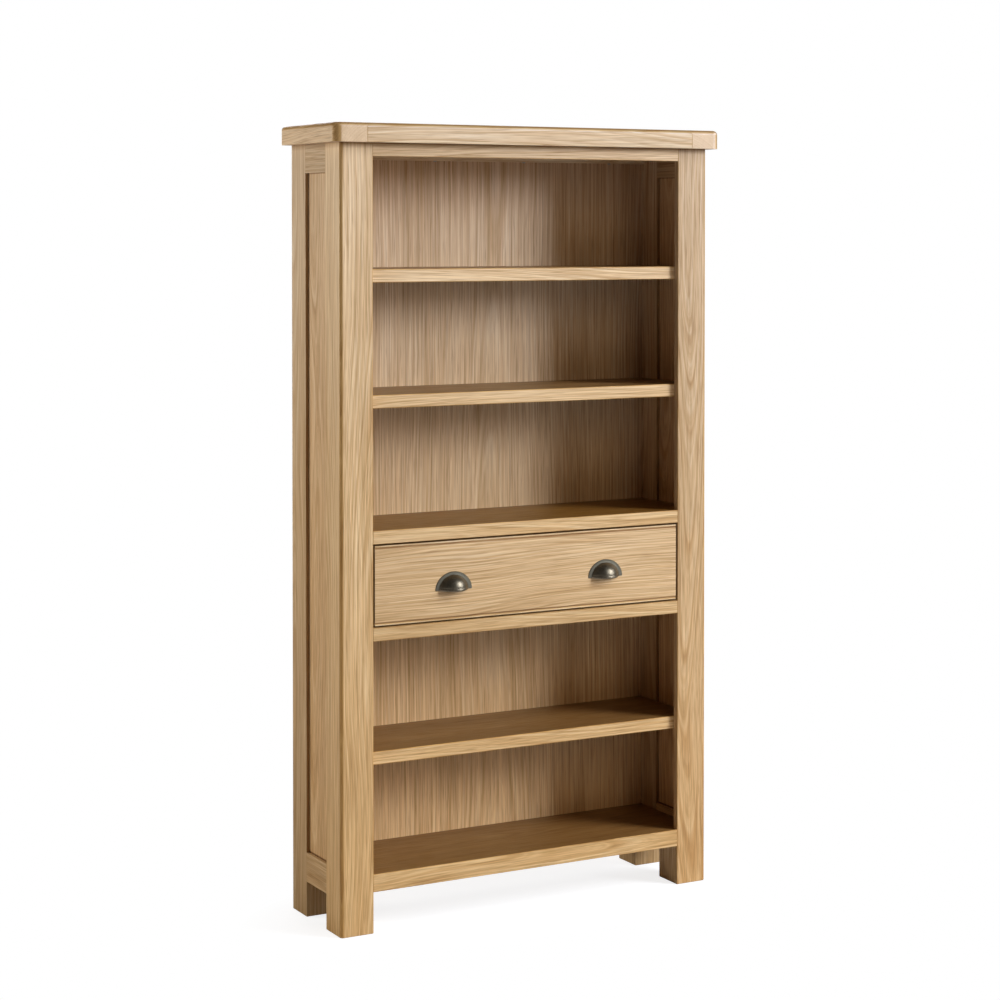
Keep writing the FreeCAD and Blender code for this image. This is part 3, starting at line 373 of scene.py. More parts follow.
    # Fibres are 0.3 to 1 mm wide; they are drawn 2 to 4 mm wide, or they would not show
    bundle = add(tree, "ShaderNodeVectorMath", {0: held, 1: (410, 410, 3.2)}, operation="MULTIPLY")
    fibre = add(tree, "ShaderNodeTexNoise", {"Vector": bundle, "Scale": 1, "Detail": 2, "Roughness": 0.55})
    threads = add(tree, "ShaderNodeValToRGB", {"Fac": fibre}, stops=(
        (0.34, (0.72, 0.64, 0.53, 1)),
        (0.48, (0.95, 0.94, 0.92, 1)),
        (0.65, (1.10, 1.10, 1.09, 1)),
    ))
    # Pores are 0.2 mm wide and 3 to 10 mm long; they are drawn 2 to 3 mm wide and 30 to 60 mm long
    dashes = add(tree, "ShaderNodeVectorMath", {0: held, 1: (440, 440, 16)}, operation="MULTIPLY")
    pore = add(tree, "ShaderNodeTexNoise", {"Vector": dashes, "Scale": 1, "Detail": 1, "Roughness": 0.5})
    holes = add(tree, "ShaderNodeValToRGB", {"Fac": pore}, stops=(
        (0.56, WHITE),
        (0.74, (0.62, 0.52, 0.42, 1)),
    ))
    # The board's tone drifts over a hand's width
    patch = add(tree, "ShaderNodeVectorMath", {0: inside, 1: (14, 14, 1.0)}, operation="MULTIPLY")
    cloud = add(tree, "ShaderNodeTexNoise", {"Vector": patch, "Scale": 1, "Detail": 2, "Roughness": 0.5})
    drifts = add(tree, "ShaderNodeValToRGB", {"Fac": cloud}, stops=(
        (0.34, (0.90, 0.87, 0.82, 1)),
        (0.60, (1.03, 1.03, 1.03, 1)),
    ))
    # Painted light: the upper part lighter and bluer, the lower part more golden, and lighter or darker by
    # foot
    spots = add(tree, "ShaderNodeSeparateXYZ", {0: place.outputs["Object"]})
    share = add(tree, "ShaderNodeMapRange", {"Value": spots.outputs["Z"], "From Max": PACKED_BOX[1][2]})
    painted_height_light = add(tree, "ShaderNodeValToRGB", {"Fac": share.outputs["Result"]}, stops=(
        (0.0, (foot, 0.95 * foot, 0.80 * foot, 1)),
        (0.5, (1.0, 1.01, 0.98, 1)),
        (1.0, (1.02, 1.12, 1.33, 1)),
    ))
    # Painted shade on every rounded arris: the further its normal turns from a face's own, the darker
    bent = add(tree, "ShaderNodeVectorMath", {0: place.outputs["Normal"]}, operation="ABSOLUTE")
    turned_to = add(tree, "ShaderNodeSeparateXYZ", {0: bent})
    most = turned_to.outputs["X"]
    for axis in "YZ":
        most = add(tree, "ShaderNodeMath", {0: most, 1: turned_to.outputs[axis]}, operation="MAXIMUM")
    arris = add(tree, "ShaderNodeValToRGB", {"Fac": most}, stops=(
        (0.72, (0.90, 0.77, 0.49, 1)),
        (0.90, (0.84, 0.72, 0.47, 1)),
        (0.975, (0.78, 0.67, 0.45, 1)),
        (0.996, WHITE),
    ))
    # End grain shows fine dots that blend from a step away
    ends = add(tree, "ShaderNodeMapRange", {
        "Value": turned_to.outputs[grain], "From Min": 0.6, "From Max": 0.9, "To Min": 1.0, "To Max": 0.3,
    })
    calm = add(tree, "ShaderNodeMix", {0: ends, 6: body, 7: strands.outputs["Color"]}, data_type="RGBA")
    shade = calm.outputs[2]
    layers = []
    for layer, share in ((rings, figure), (threads, 0.8), (holes, 0.5)):
        amount = add(tree, "ShaderNodeMath", {0: ends, 1: share}, operation="MULTIPLY")
        layers.append((layer, amount))
    layers += [(drifts, 1.0), (arris, 1.0), (painted_height_light, 1.0)]
    layers += painted_shade_and_highlight(tree, node, place, spots, turned_to, low)
    if moulded:
        # The painted shade and highlight of the mouldings reach only a few mm into the gap round the front
        outside = add(tree, "ShaderNodeMapRange", {
            "Value": spots.outputs["Y"], "From Min": low.y + 5.0 * MM, "From Max": low.y + 3.5 * MM,
        })
        layers += [(layer, outside) for layer in mouldings(tree, place, low, high)]
    if banded:
        # Behind the front face: the dark stain, with painted shade in it
        layers.append((tinted(tree, spots.outputs["Y"], low.y + 1.0 * MM, low.y + 1.4 * MM, tone), 1.0))
    for layer, share in layers:
        mixed = add(
            tree, "ShaderNodeMix", {0: share, 6: shade, 7: layer}, data_type="RGBA", blend_type="MULTIPLY"
        )
        shade = mixed.outputs[2]
    gloss = add(tree, "ShaderNodeMapRange", {
        "Value": pore.outputs["Fac"], "From Min": 0.4, "From Max": 0.75,
        "To Min": sheen, "To Max": sheen + 0.16,
    })
    ridges = add(tree, "ShaderNodeMath", {0: fibre, 1: pore}, operation="SUBTRACT")
    bump = add(tree, "ShaderNodeBump", {"Height": ridges, "Strength": relief, "Distance": 0.0006})
    shader = add(tree, "ShaderNodeBsdfPrincipled", {
        "Base Color": shade, "Roughness": gloss.outputs["Result"], "Normal": bump, "IOR": 1.5,
    })
    add(tree, "ShaderNodeOutputMaterial", {"Surface": shader})
    dress(node, material)


class BOOKCASE_OT_posts(bpy.types.Operator):
    """Dresses the four posts, whose grain runs upright"""

    bl_idname = "bookcase.posts"
    bl_label = "Posts"

    def execute(self, context):
        oak("front_post_left", "Z", (58, 60, 120), (0.9, 0.5), 5.5, 11, tone=(1, 1, 1.01))
        tone = (0.80, 0.79, 0.82)
        oak("front_post_right", "Z", (-6, 26, -260), (-1.5, 0.6), 6.5, 13, figure=0.85, tone=tone, foot=1.28)
        oak("rear_post_left", "Z", (64, 30, 0), (0.6, 0.5), 6.5, 9, tone=(0.80, 0.80, 0.84), foot=0.85)
        oak("rear_post_right", "Z", (-70, 24, 200), (0.8, -0.4), 6.5, 9, tone=(0.80, 0.80, 0.84), foot=0.85)
        return {"FINISHED"}


class BOOKCASE_OT_sides(bpy.types.Operator):
    """Dresses the rails and the thin panels of the two sides"""

    bl_idname = "bookcase.sides"
    bl_label = "Sides"

    def execute(self, context):
        for name, side in (("left", 1), ("right", -1)):
            tone = (0.66, 0.62, 0.58)
            oak(f"side_top_rail_{name}", "Y", (48 * side, 0, 16), (0.9, 1.2), 7, 8, tone=tone)
            tone = (0.8, 0.8, 0.84)
            oak(f"side_bottom_rail_{name}", "Y", (40 * side, 0, -22), (-0.6, 1.4), 7, 8, tone=tone)
            tone = (0.86, 0.81, 0.78)
            oak(f"side_panel_{name}", "Z", (60 * side, 20, 150), (0.5, 1.6 * side), 8, 16, tone=tone)
        return {"FINISHED"}


class BOOKCASE_OT_rails(bpy.types.Operator):
    """Dresses the rails across the front and the back"""

    bl_idname = "bookcase.rails"
    bl_label = "Rails"

    def execute(self, context):
        # The rails in front of the two boards that carry things are stained like them behind their face, with
        # the same painted shade
        oak("front_top_rail", "X", (60, 60, 14), (1.0, 0.4), 7, 10, tone=(0.93, 0.91, 0.89))
        oak("drawer_top_rail", "X", (-160, 46, -20), (0.9, 0.5), 7, 10, tone=DEEP_STAIN_AND_SHADE, banded=True)
        oak("drawer_bottom_rail", "X", (120, 50, 16), (-0.9, 0.6), 7, 10, tone=(0.90, 0.89, 0.87))
        oak("bottom_front_rail", "X", (-60, 44, 8), (1.2, 0.4), 7, 12, tone=STAIN_AND_SHADE, banded=True)
        oak("top_back_rail", "X", (90, -50, -14), (0.8, 0.5), 7, 10)
        oak("bottom_back_rail", "X", (-90, -46, 18), (-0.8, 0.5), 7, 10)
        return {"FINISHED"}


class BOOKCASE_OT_boards(bpy.types.Operator):
    """Dresses the fixed boards and the loose shelves"""

    bl_idname = "bookcase.boards"
    bl_label = "Boards and shelves"

    def execute(self, context):
        # Veneered and stained darker than the solid oak, with the shade of the bays painted into that colour
        # too; the shelves' front edges are banded
        oak("bottom_board", "X", (50, 30, -70), (0.4, 1.1), 8, 14, tone=STAIN_AND_SHADE)
        oak("drawer_bottom_board", "X", (-110, -40, -80), (0.4, -1.0), 8, 14, tone=STAIN_AND_SHADE)
        oak("drawer_top_board", "X", (160, 20, -74), (0.4, 0.9), 8, 14, tone=DEEP_STAIN_AND_SHADE)
        oak("shelf_lower", "X", (-180, -34, -66), (0.9, 1.0), 7, 13, tone=STAIN_AND_SHADE, banded=True)
        oak("shelf_middle", "X", (140, -60, -58), (-0.8, 0.8), 7, 12, tone=STAIN_AND_SHADE, banded=True)
        oak("shelf_upper", "X", (-40, -48, -72), (0.8, -0.9), 7, 12, tone=STAIN_AND_SHADE, banded=True)
        return {"FINISHED"}


class BOOKCASE_OT_back(bpy.types.Operator):
    """Dresses the veneered back panel"""

    bl_idname = "bookcase.back"
    bl_label = "Back panel"

    def execute(self, context):
        tone = (0.98, 1.01, 1.12)
        oak("back_panel", "Z", (40, 90, 120), (0.5, 0.1), 11, 9, leaf=290, figure=0.35, tone=tone, foot=1.2)
        return {"FINISHED"}


class BOOKCASE_OT_top(bpy.types.Operator):
    """Dresses the top board, its two breadboard ends and the battens under it"""

    bl_idname = "bookcase.top"
    bl_label = "Top"

    def execute(self, context):
        oak("top_centre_board", "X", (130, 40, -80), (0.8, 0.9), 7, 13, tone=(0.92, 0.93, 0.96))
        oak("top_end_left", "Y", (96, 0, -110), (2.4, 1.8), 6.5, 14, figure=0.25, tone=(0.95, 0.93, 0.94))
        oak("top_end_right", "Y", (-88, 0, -120), (-2.2, 1.6), 6.5, 14, figure=0.25, tone=(0.92, 0.92, 0.98))
        for node in ("top_batten_front", "top_batten_left", "top_batten_right"):
            grain = "X" if node.endswith("front") else "Y"
            oak(node, grain, (30, 30, -30), (0.5, 0.5), 6, 8, finish="planed")
        return {"FINISHED"}


class BOOKCASE_OT_runners(bpy.types.Operator):
    """Dresses what the drawer slides on, between and under"""

    bl_idname = "bookcase.runners"
    bl_label = "Drawer runners"

    def execute(self, context):
        for name, side in (("left", 1), ("right", -1)):
            for kind, depth in (("runner", -30), ("guide", -44), ("kicker", 36)):
                oak(f"drawer_{kind}_{name}", "Y", (26 * side, 0, depth), (0.6, 0.8), 6, 8, finish="planed")
        return {"FINISHED"}


class BOOKCASE_OT_drawer(bpy.types.Operator):
    """Dresses the drawer's front, its box and its bottom"""

    bl_idname = "bookcase.drawer"
    bl_label = "Drawer"

    def execute(self, context):
        oak(
            "drawer_front", "X", (-40, 70, 150), (0.4, 0.5), 7, 22,
            tone=(0.94, 0.95, 1.01), waves=(1.3, 0.03), moulded=True,
        )
        for name, side in (("left", 1), ("right", -1)):
            oak(f"drawer_side_{name}", "Y", (52 * side, 0, 30), (0.7, 1.0), 6.5, 9, finish="planed")
        oak("drawer_back", "X", (60, 50, -24), (0.9, 0.6), 6.5, 9, finish="planed")
        oak("drawer_bottom", "X", (0, 40, -160), (0.5, 1.2), 11, 18, finish="ply")
        return {"FINISHED"}


# Metal

# Vertices within this many metres of each other are one, and within it of a cut they lie on it
WELD = 1e-6
# Faces that meet at less than this are shaded as one surface
SMOOTH = math.radians(40)


def metal(name, tint, worn, rough, grain):
    """A metal whose tint and roughness vary in small patches, paler where it is worn.

    Worn is the paler colour, or None, and grain the size in mm of the patches.
    """
    material, tree = new_material(name)
    place = add(tree, "ShaderNodeTexCoord")
    scale = 1 / (grain * MM)
    spots = add(tree, "ShaderNodeTexNoise", {
        "Vector": place.outputs["Object"], "Scale": scale, "Detail": 3, "Roughness": 0.6,
    })
    dull = [channel * 0.84 for channel in tint[:3]] + [1]
    clear = [min(1, channel * 1.16) for channel in tint[:3]] + [1]
    shade = add(tree, "ShaderNodeValToRGB", {"Fac": spots}, stops=((0.35, dull), (0.65, clear)))
    rub = add(tree, "ShaderNodeMapRange", {
        "Value": spots.outputs["Fac"], "From Min": 0.3, "From Max": 0.7,
        "To Min": rough - 0.03, "To Max": rough + 0.04,
    }).outputs["Result"]
    if worn:
        # The rim lies within 2 mm of the drawer's face; hands and cloths rub it where it faces forward
        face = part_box("drawer_front")[0].y
        depth = add(tree, "ShaderNodeSeparateXYZ", {0: place.outputs["Object"]})
        near = add(tree, "ShaderNodeMapRange", {
            "Value": depth.outputs["Y"], "From Min": face - 3.3 * MM, "From Max": face - 2.0 * MM,
        })
        ahead = add(tree, "ShaderNodeSeparateXYZ", {0: place.outputs["Normal"]})
        facing = add(tree, "ShaderNodeMapRange", {
            "Value": ahead.outputs["Y"], "From Min": -0.3, "From Max": -0.85,
        })
        rubbed = add(tree, "ShaderNodeMath", {0: near, 1: facing}, operation="MULTIPLY")
        share = add(tree, "ShaderNodeMath", {0: rubbed, 1: spots}, operation="MULTIPLY")
        wear = add(tree, "ShaderNodeMapRange", {"Value": share, "From Min": 0.1, "From Max": 0.55})
        shade = add(tree, "ShaderNodeMix", {0: wear, 6: shade, 7: worn}, data_type="RGBA").outputs[2]
        # Rubbed metal is scratched, so it is duller too
        rub = add(tree, "ShaderNodeMath", {0: wear, 1: 0.24, 2: rub}, operation="MULTIPLY_ADD")
    bump = add(tree, "ShaderNodeBump", {"Height": spots, "Strength": 0.12, "Distance": 0.0003})
    shader = add(tree, "ShaderNodeBsdfPrincipled", {
        "Base Color": shade, "Metallic": 1.0, "Roughness": rub, "Normal": bump,
    })
    add(tree, "ShaderNodeOutputMaterial", {"Surface": shader})
    return material


def active():
    """The object that the last operator made or changed."""
    return bpy.context.view_layer.objects.active


def pick(test):
    """In edit mode, selects just the vertices whose place passes a test, and what they enclose."""
    bpy.ops.object.mode_set(mode="OBJECT")
    mesh = active().data
    place = active().matrix_world
    for group in (mesh.polygons, mesh.edges):
        for item in group:
            item.select = False
    for vertex in mesh.vertices:
        vertex.select = bool(test(place @ vertex.co))
    bpy.ops.object.mode_set(mode="EDIT")
    bpy.ops.mesh.select_mode(type="VERT")


def picked_reach(middle, base):
    """How far the selected vertices reach from a middle along X, and up from a base, in edit mode."""
    bpy.ops.object.mode_set(mode="OBJECT")
    place = active().matrix_world
    spots = [place @ vertex.co for vertex in active().data.vertices if vertex.select]
    bpy.ops.object.mode_set(mode="EDIT")
    return max(abs(spot.x - middle) for spot in spots), max(spot.z for spot in spots) - base


def in_order():
    """In edit mode, numbers a mesh's vertices, edges and faces by their distance from one point.

    A cut leaves them mixed, and not the same way each time. The point lies on no plane of symmetry.
    """
    bpy.context.scene.cursor.location = (0.731, -1.377, 0.219)
    bpy.ops.mesh.select_all(action="SELECT")
    bpy.ops.mesh.sort_elements(type="CURSOR_DISTANCE", elements={"VERT", "EDGE", "FACE"})


def settle(name):
    """Ends the shaping of a piece: its place goes into its mesh, and its faces point outwards."""
    bpy.ops.object.mode_set(mode="EDIT")
    bpy.ops.mesh.select_all(action="SELECT")
    bpy.ops.mesh.remove_doubles(threshold=WELD)
    bpy.ops.mesh.normals_make_consistent(inside=False)
    bpy.ops.object.mode_set(mode="OBJECT")
    bpy.ops.object.transform_apply(location=True, rotation=True, scale=True)
    bpy.ops.object.shade_smooth_by_angle(angle=SMOOTH)
    piece = active()
    piece.name = name
    piece.data.name = name
    return piece


def turned(profile, sides):
    """A turned form that stands on Z: profile lists (height, radius) in mm from its lower end up.

    It starts as a circle that is raised and resized step by step; both ends are then closed.
    """
    bpy.ops.object.select_all(action="DESELECT")
    height, radius = profile[0]
    bpy.ops.mesh.primitive_circle_add(vertices=sides, radius=radius * MM, location=(0, 0, height * MM))
    bpy.ops.object.mode_set(mode="EDIT")
    bpy.ops.mesh.select_all(action="SELECT")
    bpy.ops.mesh.extrude_edges_move(TRANSFORM_OT_translate={"value": (0, 0, 0)})
    bpy.ops.mesh.merge(type="CENTER")
    pick(lambda spot: spot.xy.length > 0.5 * radius * MM)
    for last, (height_now, radius_now) in zip(profile, profile[1:]):
        bpy.ops.mesh.extrude_edges_move(
            TRANSFORM_OT_translate={"value": (0, 0, (height_now - last[0]) * MM)}
        )
        factor = radius_now / last[1]
        bpy.ops.transform.resize(value=(factor, factor, 1), center_override=(0, 0, height_now * MM))
    bpy.ops.mesh.extrude_edges_move(TRANSFORM_OT_translate={"value": (0, 0, 0)})
    bpy.ops.mesh.merge(type="CENTER")
    bpy.ops.object.mode_set(mode="OBJECT")
    bpy.ops.object.transform_apply(location=True, rotation=True, scale=True)
    return active()


def cut_recess(screw, height, depth, reach, width):
    """Cuts the cross that a driver turns into a screw's head, whose top is at that height in mm."""
    for angle in (0, 90):
        bpy.ops.object.select_all(action="DESELECT")
        bpy.ops.mesh.primitive_cube_add(size=1, location=(0, 0, height * MM))
        cutter = active()
        cutter.scale = (2 * reach * MM, width * MM, 2 * depth * MM)
        cutter.rotation_euler.z = math.radians(angle)
        bpy.ops.object.transform_apply(location=True, rotation=True, scale=True)
        pick(lambda spot: spot.z < height * MM)
        bpy.ops.transform.resize(value=(0.45, 0.45, 1), center_override=(0, 0, 0))
        bpy.ops.object.mode_set(mode="OBJECT")
        bpy.ops.object.select_all(action="DESELECT")
        bpy.context.view_layer.objects.active = screw
        screw.select_set(True)
        cut = screw.modifiers.new("recess", "BOOLEAN")
        cut.operation = "DIFFERENCE"
        cut.object = cutter
        bpy.ops.object.modifier_apply(modifier=cut.name)
        bpy.data.objects.remove(cutter)


def model_screw(shank, reach, head, thick, pan):
    """One wood screw, in mm, that stands on its tip along Z, with the seat of its head at 0.

    Shank is the radius of its shank and reach its length under the head; head is the head's radius,
    thick its height and pan the share of its radius that is flat on top. Its thread is drawn as rings,
    because a helix would look the same and cost more faces.
    """
    pitch = 0.5 * shank + 0.3
    root = 0.72 * shank
    height = -reach + 1.2 * shank
    profile = [(-reach, 0.12 * shank), (height, root)]
    while height < -0.3 * reach:
        profile += [(height + 0.5 * pitch, 0.98 * shank), (height + pitch, root)]
        height += pitch
    profile += [(height + 0.4 * pitch, 0.92 * shank), (-0.2, 0.92 * shank), (0, 0.96 * head)]
    profile += [(0.3 * thick, head), (0.6 * thick, 0.97 * head), (thick, pan * head)]
    screw = turned(profile, 20)
    cut_recess(screw, thick, 0.6 * thick, 0.52 * head, 0.26 * head)
    return screw


def place_copies(model, name, node, spots, turn):
    """Sets a copy of a model at each place, turned alike, joined to one piece that stands for a node."""
    copies = []
    for spot in spots:
        bpy.ops.object.select_all(action="DESELECT")
        model.select_set(True)
        bpy.context.view_layer.objects.active = model
        bpy.ops.object.duplicate(linked=False)
        copy = active()
        copy.matrix_world = Matrix.Translation(Vector(spot) * MM) @ turn.to_4x4()
        copies.append(copy)
    bpy.ops.object.select_all(action="DESELECT")
    for copy in copies:
        copy.select_set(True)
    bpy.context.view_layer.objects.active = copies[0]
    bpy.ops.object.join()
    bpy.data.objects.remove(model)
    piece = settle(name)
    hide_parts(node)
    return piece


class BOOKCASE_OT_screws(bpy.types.Operator):
    """Models the screws of the back panel, the top and the cup pulls"""

    bl_idname = "bookcase.screws"
    bl_label = "Screws"

    def execute(self, context):
        # Steel, zinc plated: bright grey with a faint mottle
        steel = metal("Steel, zinc plated", settings().bookcase_metal.zinc, None, 0.34, 2.5)
        forward = Matrix.Rotation(math.radians(-90), 3, "X")
        # Each spot is the seat of a head, in mm. First from behind, through the back panel
        spots = [(x, 142, z) for x in (-322.5, -107.5, 107.5, 322.5) for z in (121, 670, 886, 1742)]
        screw = model_screw(1.6, 18, 3.4, 1.6, 0.55)
        backs = place_copies(screw, "back_panel_screws_detail", "back_panel_screws", spots, forward)
        # Up through the front batten, the rail at the back and the side battens
        along = (-360, -120, 120, 360)
        spots = [(x, -96, 1735) for x in along] + [(x, 128, 1727) for x in along]
        spots += [(x, y, 1735) for x in (-452, 452) for y in (-49, 81)]
        screw = model_screw(2.0, 40, 4.0, 2.5, 0.6)
        downward = Matrix.Rotation(math.radians(180), 3, "X")
        tops = place_copies(screw, "top_fixing_screws_detail", "top_fixing_screws", spots, downward)
        # From within the drawer, through its front
        spots = [(x, -99, 764) for x in (-232, -168, 168, 232)]
        screw = model_screw(2.0, 25, 3.9, 2.6, 0.6)
        pulls = place_copies(screw, "cup_pull_screws_detail", "cup_pull_screws", spots, forward)
        for piece, body in ((backs, "carcass"), (tops, "carcass"), (pulls, "drawer")):
            piece.data.materials.clear()
            piece.data.materials.append(steel)
            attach(piece, body)
        return {"FINISHED"}


class BOOKCASE_OT_pins(bpy.types.Operator):
    """Models the pins under the loose shelves"""

    bl_idname = "bookcase.pins"
    bl_label = "Shelf pins"

    def execute(self, context):
        # Steel, turned and nickel plated: a warmer, smoother grey than zinc
        steel = metal("Steel, turned and nickel plated", settings().bookcase_metal.nickel, None, 0.24, 3)
        for name, side in (("left", -1), ("right", 1)):
            # From the tip in the side board, past a collar on its face, to the rounded free end
            pin = turned((
                (-9.95, 1.9), (-9.2, 2.45), (-0.8, 2.45), (0, 2.45), (0.02, 3.3), (0.15, 3.45),
                (0.6, 3.45), (0.72, 3.3), (0.74, 2.45), (7.9, 2.45), (8.6, 2.2), (9.0, 1.5),
            ), 20)
            spots = [(side * 461, y, z) for y in (-69, 101) for z in (369.45, 1164.45, 1444.45)]
            turn = Matrix.Rotation(math.radians(-90 * side), 3, "Y")
            piece = place_copies(pin, f"shelf_pins_detail_{name}", "shelf_pins", spots, turn)
            piece.data.materials.clear()
            piece.data.materials.append(steel)
            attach(piece, "carcass")
        return {"FINISHED"}


class BOOKCASE_OT_pulls(bpy.types.Operator):
    """Models the two cup pulls: a cast half dome with a flat rim, a rolled lip and two bosses"""

    bl_idname = "bookcase.pulls"
    bl_label = "Cup pulls"

    def execute(self, context):
        bronze = settings().bookcase_metal
        # Bronze, cast and darkened: almost black, with a satin gleam and a rim rubbed to grey
        dark = metal("Bronze, cast and darkened", bronze.bronze, bronze.rim, 0.37, 4)
        fit = settings().bookcase_fittings
        low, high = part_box("cup_pull_left")
        middle = (low.x + high.x) / 2
        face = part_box("drawer_front")[0].y
        base = low.z + fit.lip_drop
        # The dome is an arc turned about an axis along X that lies behind the drawer's face
        turn = fit.dome_height**2 / fit.projection
        axis_y = face + (turn - fit.projection) / 2
        arc = (fit.dome_half_width**2 / fit.projection + fit.projection) / 2
        arc_y = axis_y + arc - (turn + fit.projection) / 2
        axis = (middle, axis_y, base)
        arc_sides, turn_steps = 144, 132
        bpy.ops.object.select_all(action="DESELECT")
        bpy.ops.mesh.primitive_circle_add(vertices=arc_sides, radius=arc, location=(middle, arc_y, base))
        bpy.ops.object.mode_set(mode="EDIT")
        bpy.ops.mesh.select_all(action="SELECT")
        bpy.ops.mesh.bisect(plane_co=axis, plane_no=(0, -1, 0), clear_inner=True)
        bpy.ops.mesh.select_all(action="SELECT")
        bpy.ops.mesh.spin(steps=turn_steps, angle=math.radians(360), center=axis, axis=(1, 0, 0))
        bpy.ops.mesh.select_all(action="SELECT")
        bpy.ops.mesh.remove_doubles(threshold=1e-5)
        # The dome ends near the drawer where a hollow cove starts, and below where the lip starts
        rim_y = face - fit.wall
        cove_y = rim_y - 1.4 * MM
        slope = Vector((0, -fit.lip_drop, fit.projection)).normalized()
        level = Vector((middle, face, base)) + slope * fit.lip_band
        for spot, way in ((Vector((middle, cove_y, base)), Vector((0, -1, 0))), (level, slope)):
            bpy.ops.mesh.select_all(action="SELECT")
            bpy.ops.mesh.bisect(plane_co=spot, plane_no=way, clear_inner=True, threshold=WELD)
            in_order()
        bpy.ops.mesh.select_all(action="SELECT")
        bpy.ops.mesh.normals_make_consistent(inside=False)
        # The lip: a groove, then a rolled band; each step goes down by a share of it and out by so many mm
        close = 0.02 * MM
        pick(lambda spot: abs((spot - level).dot(slope)) < close)
        for share, out in ((0.1, -0.55), (0.1, 0.15), (0.12, 0.95), (0.2, 0.6), (0.24, 0.05), (0.26, -0.4)):
            down = -share * fit.lip_band / slope.z
            bpy.ops.mesh.extrude_edges_move(TRANSFORM_OT_translate={"value": (0, 0, down)})
            bpy.ops.transform.resize(
                value=(1 + 0.6 * out * MM / fit.dome_half_width, 1 + out * MM / fit.projection, 1),
                center_override=(middle, cove_y, base),
            )
        # The cove, in two steps, then the flat rim and its outer edge
        pick(lambda spot: abs(spot.y - cove_y) < close)
        wide, tall = picked_reach(middle, base)
        depth = cove_y
        steps = (
            (wide + 0.8 * MM, tall + 0.7 * MM, cove_y + 0.9 * MM),
            (wide + 2.2 * MM, tall + 1.9 * MM, rim_y),
            ((high.x - low.x) / 2 - 1.2 * MM, high.z - base - 1.2 * MM, rim_y),
            ((high.x - low.x) / 2, high.z - base, rim_y + 1.1 * MM),
        )
        for next_wide, next_tall, next_depth in steps:
            bpy.ops.mesh.extrude_edges_move(TRANSFORM_OT_translate={"value": (0, next_depth - depth, 0)})
            bpy.ops.transform.resize(
                value=(next_wide / wide, 1, next_tall / tall), center_override=(middle, next_depth, base)
            )
            wide, tall, depth = next_wide, next_tall, next_depth
        in_order()
        bpy.ops.object.mode_set(mode="OBJECT")
        pull = active()
        shell = pull.modifiers.new("wall", "SOLIDIFY")
        shell.thickness = fit.wall
        shell.offset = -1
        bpy.ops.object.modifier_apply(modifier=shell.name)
        edge = pull.modifiers.new("edge", "BEVEL")
        edge.width = 0.35 * MM
        edge.segments = 2
        edge.limit_method = "ANGLE"
        edge.angle_limit = math.radians(50)
        bpy.ops.object.modifier_apply(modifier=edge.name)
        bpy.ops.object.mode_set(mode="EDIT")
        # Two bosses, which take the screws, end within the shell, on a slant along its skin
        boss_length = 16 * MM
        for side in (-1, 1):
            spot = Vector((middle + side * 32 * MM, 0, base + 10 * MM))
            bpy.ops.mesh.select_all(action="DESELECT")
            bpy.ops.mesh.primitive_cylinder_add(
                vertices=28, radius=4 * MM, depth=boss_length, end_fill_type="NGON",
                location=(spot.x, face - boss_length / 2, spot.z), rotation=(math.radians(90), 0, 0),
            )
            skin = Vector((side * 0.62, -0.735, 0.274))
            bpy.ops.mesh.bisect(
                plane_co=Vector((spot.x, face - 5.8 * MM, spot.z)) - 1.1 * MM * skin, plane_no=skin,
                use_fill=True, clear_outer=True,
            )
            in_order()
        bpy.ops.object.mode_set(mode="OBJECT")
        pull.data.materials.clear()
        pull.data.materials.append(dark)
        left = settle("cup_pull_left_detail")
        bpy.ops.object.duplicate(linked=False)
        right = active()
        low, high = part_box("cup_pull_right")
        right.location.x = (low.x + high.x) / 2 - middle
        bpy.ops.object.transform_apply(location=True, rotation=True, scale=True)
        right.name = "cup_pull_right_detail"
        for piece, node in ((left, "cup_pull_left"), (right, "cup_pull_right")):
            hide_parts(node)
            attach(piece, "drawer")
        return {"FINISHED"}


# Stage


def lamp(name, azimuth, elevation, distance, size, watts, code, height=0.9, shines=True):
    """A square soft lamp, turned to the bookcase. Azimuth runs from the front to the right.

    One that doesn't shine is so well diffused that it gives no highlight.
    """
    side, up = math.radians(azimuth), math.radians(elevation)
    way = Vector((math.sin(side) * math.cos(up), -math.cos(side) * math.cos(up), math.sin(up)))
    target = Vector((0, 0, height))
    facing = way.to_track_quat("Z", "Y").to_euler()
    bpy.ops.object.light_add(type="AREA", location=target + way * distance, rotation=facing)
    light = active()
    light.name = name
    light.data.name = name
    light.data.shape = "SQUARE"
    light.data.size = size
    light.data.energy = watts
    light.data.color = linear(code)[:3]
    light.visible_camera = False
    light.visible_glossy = shines


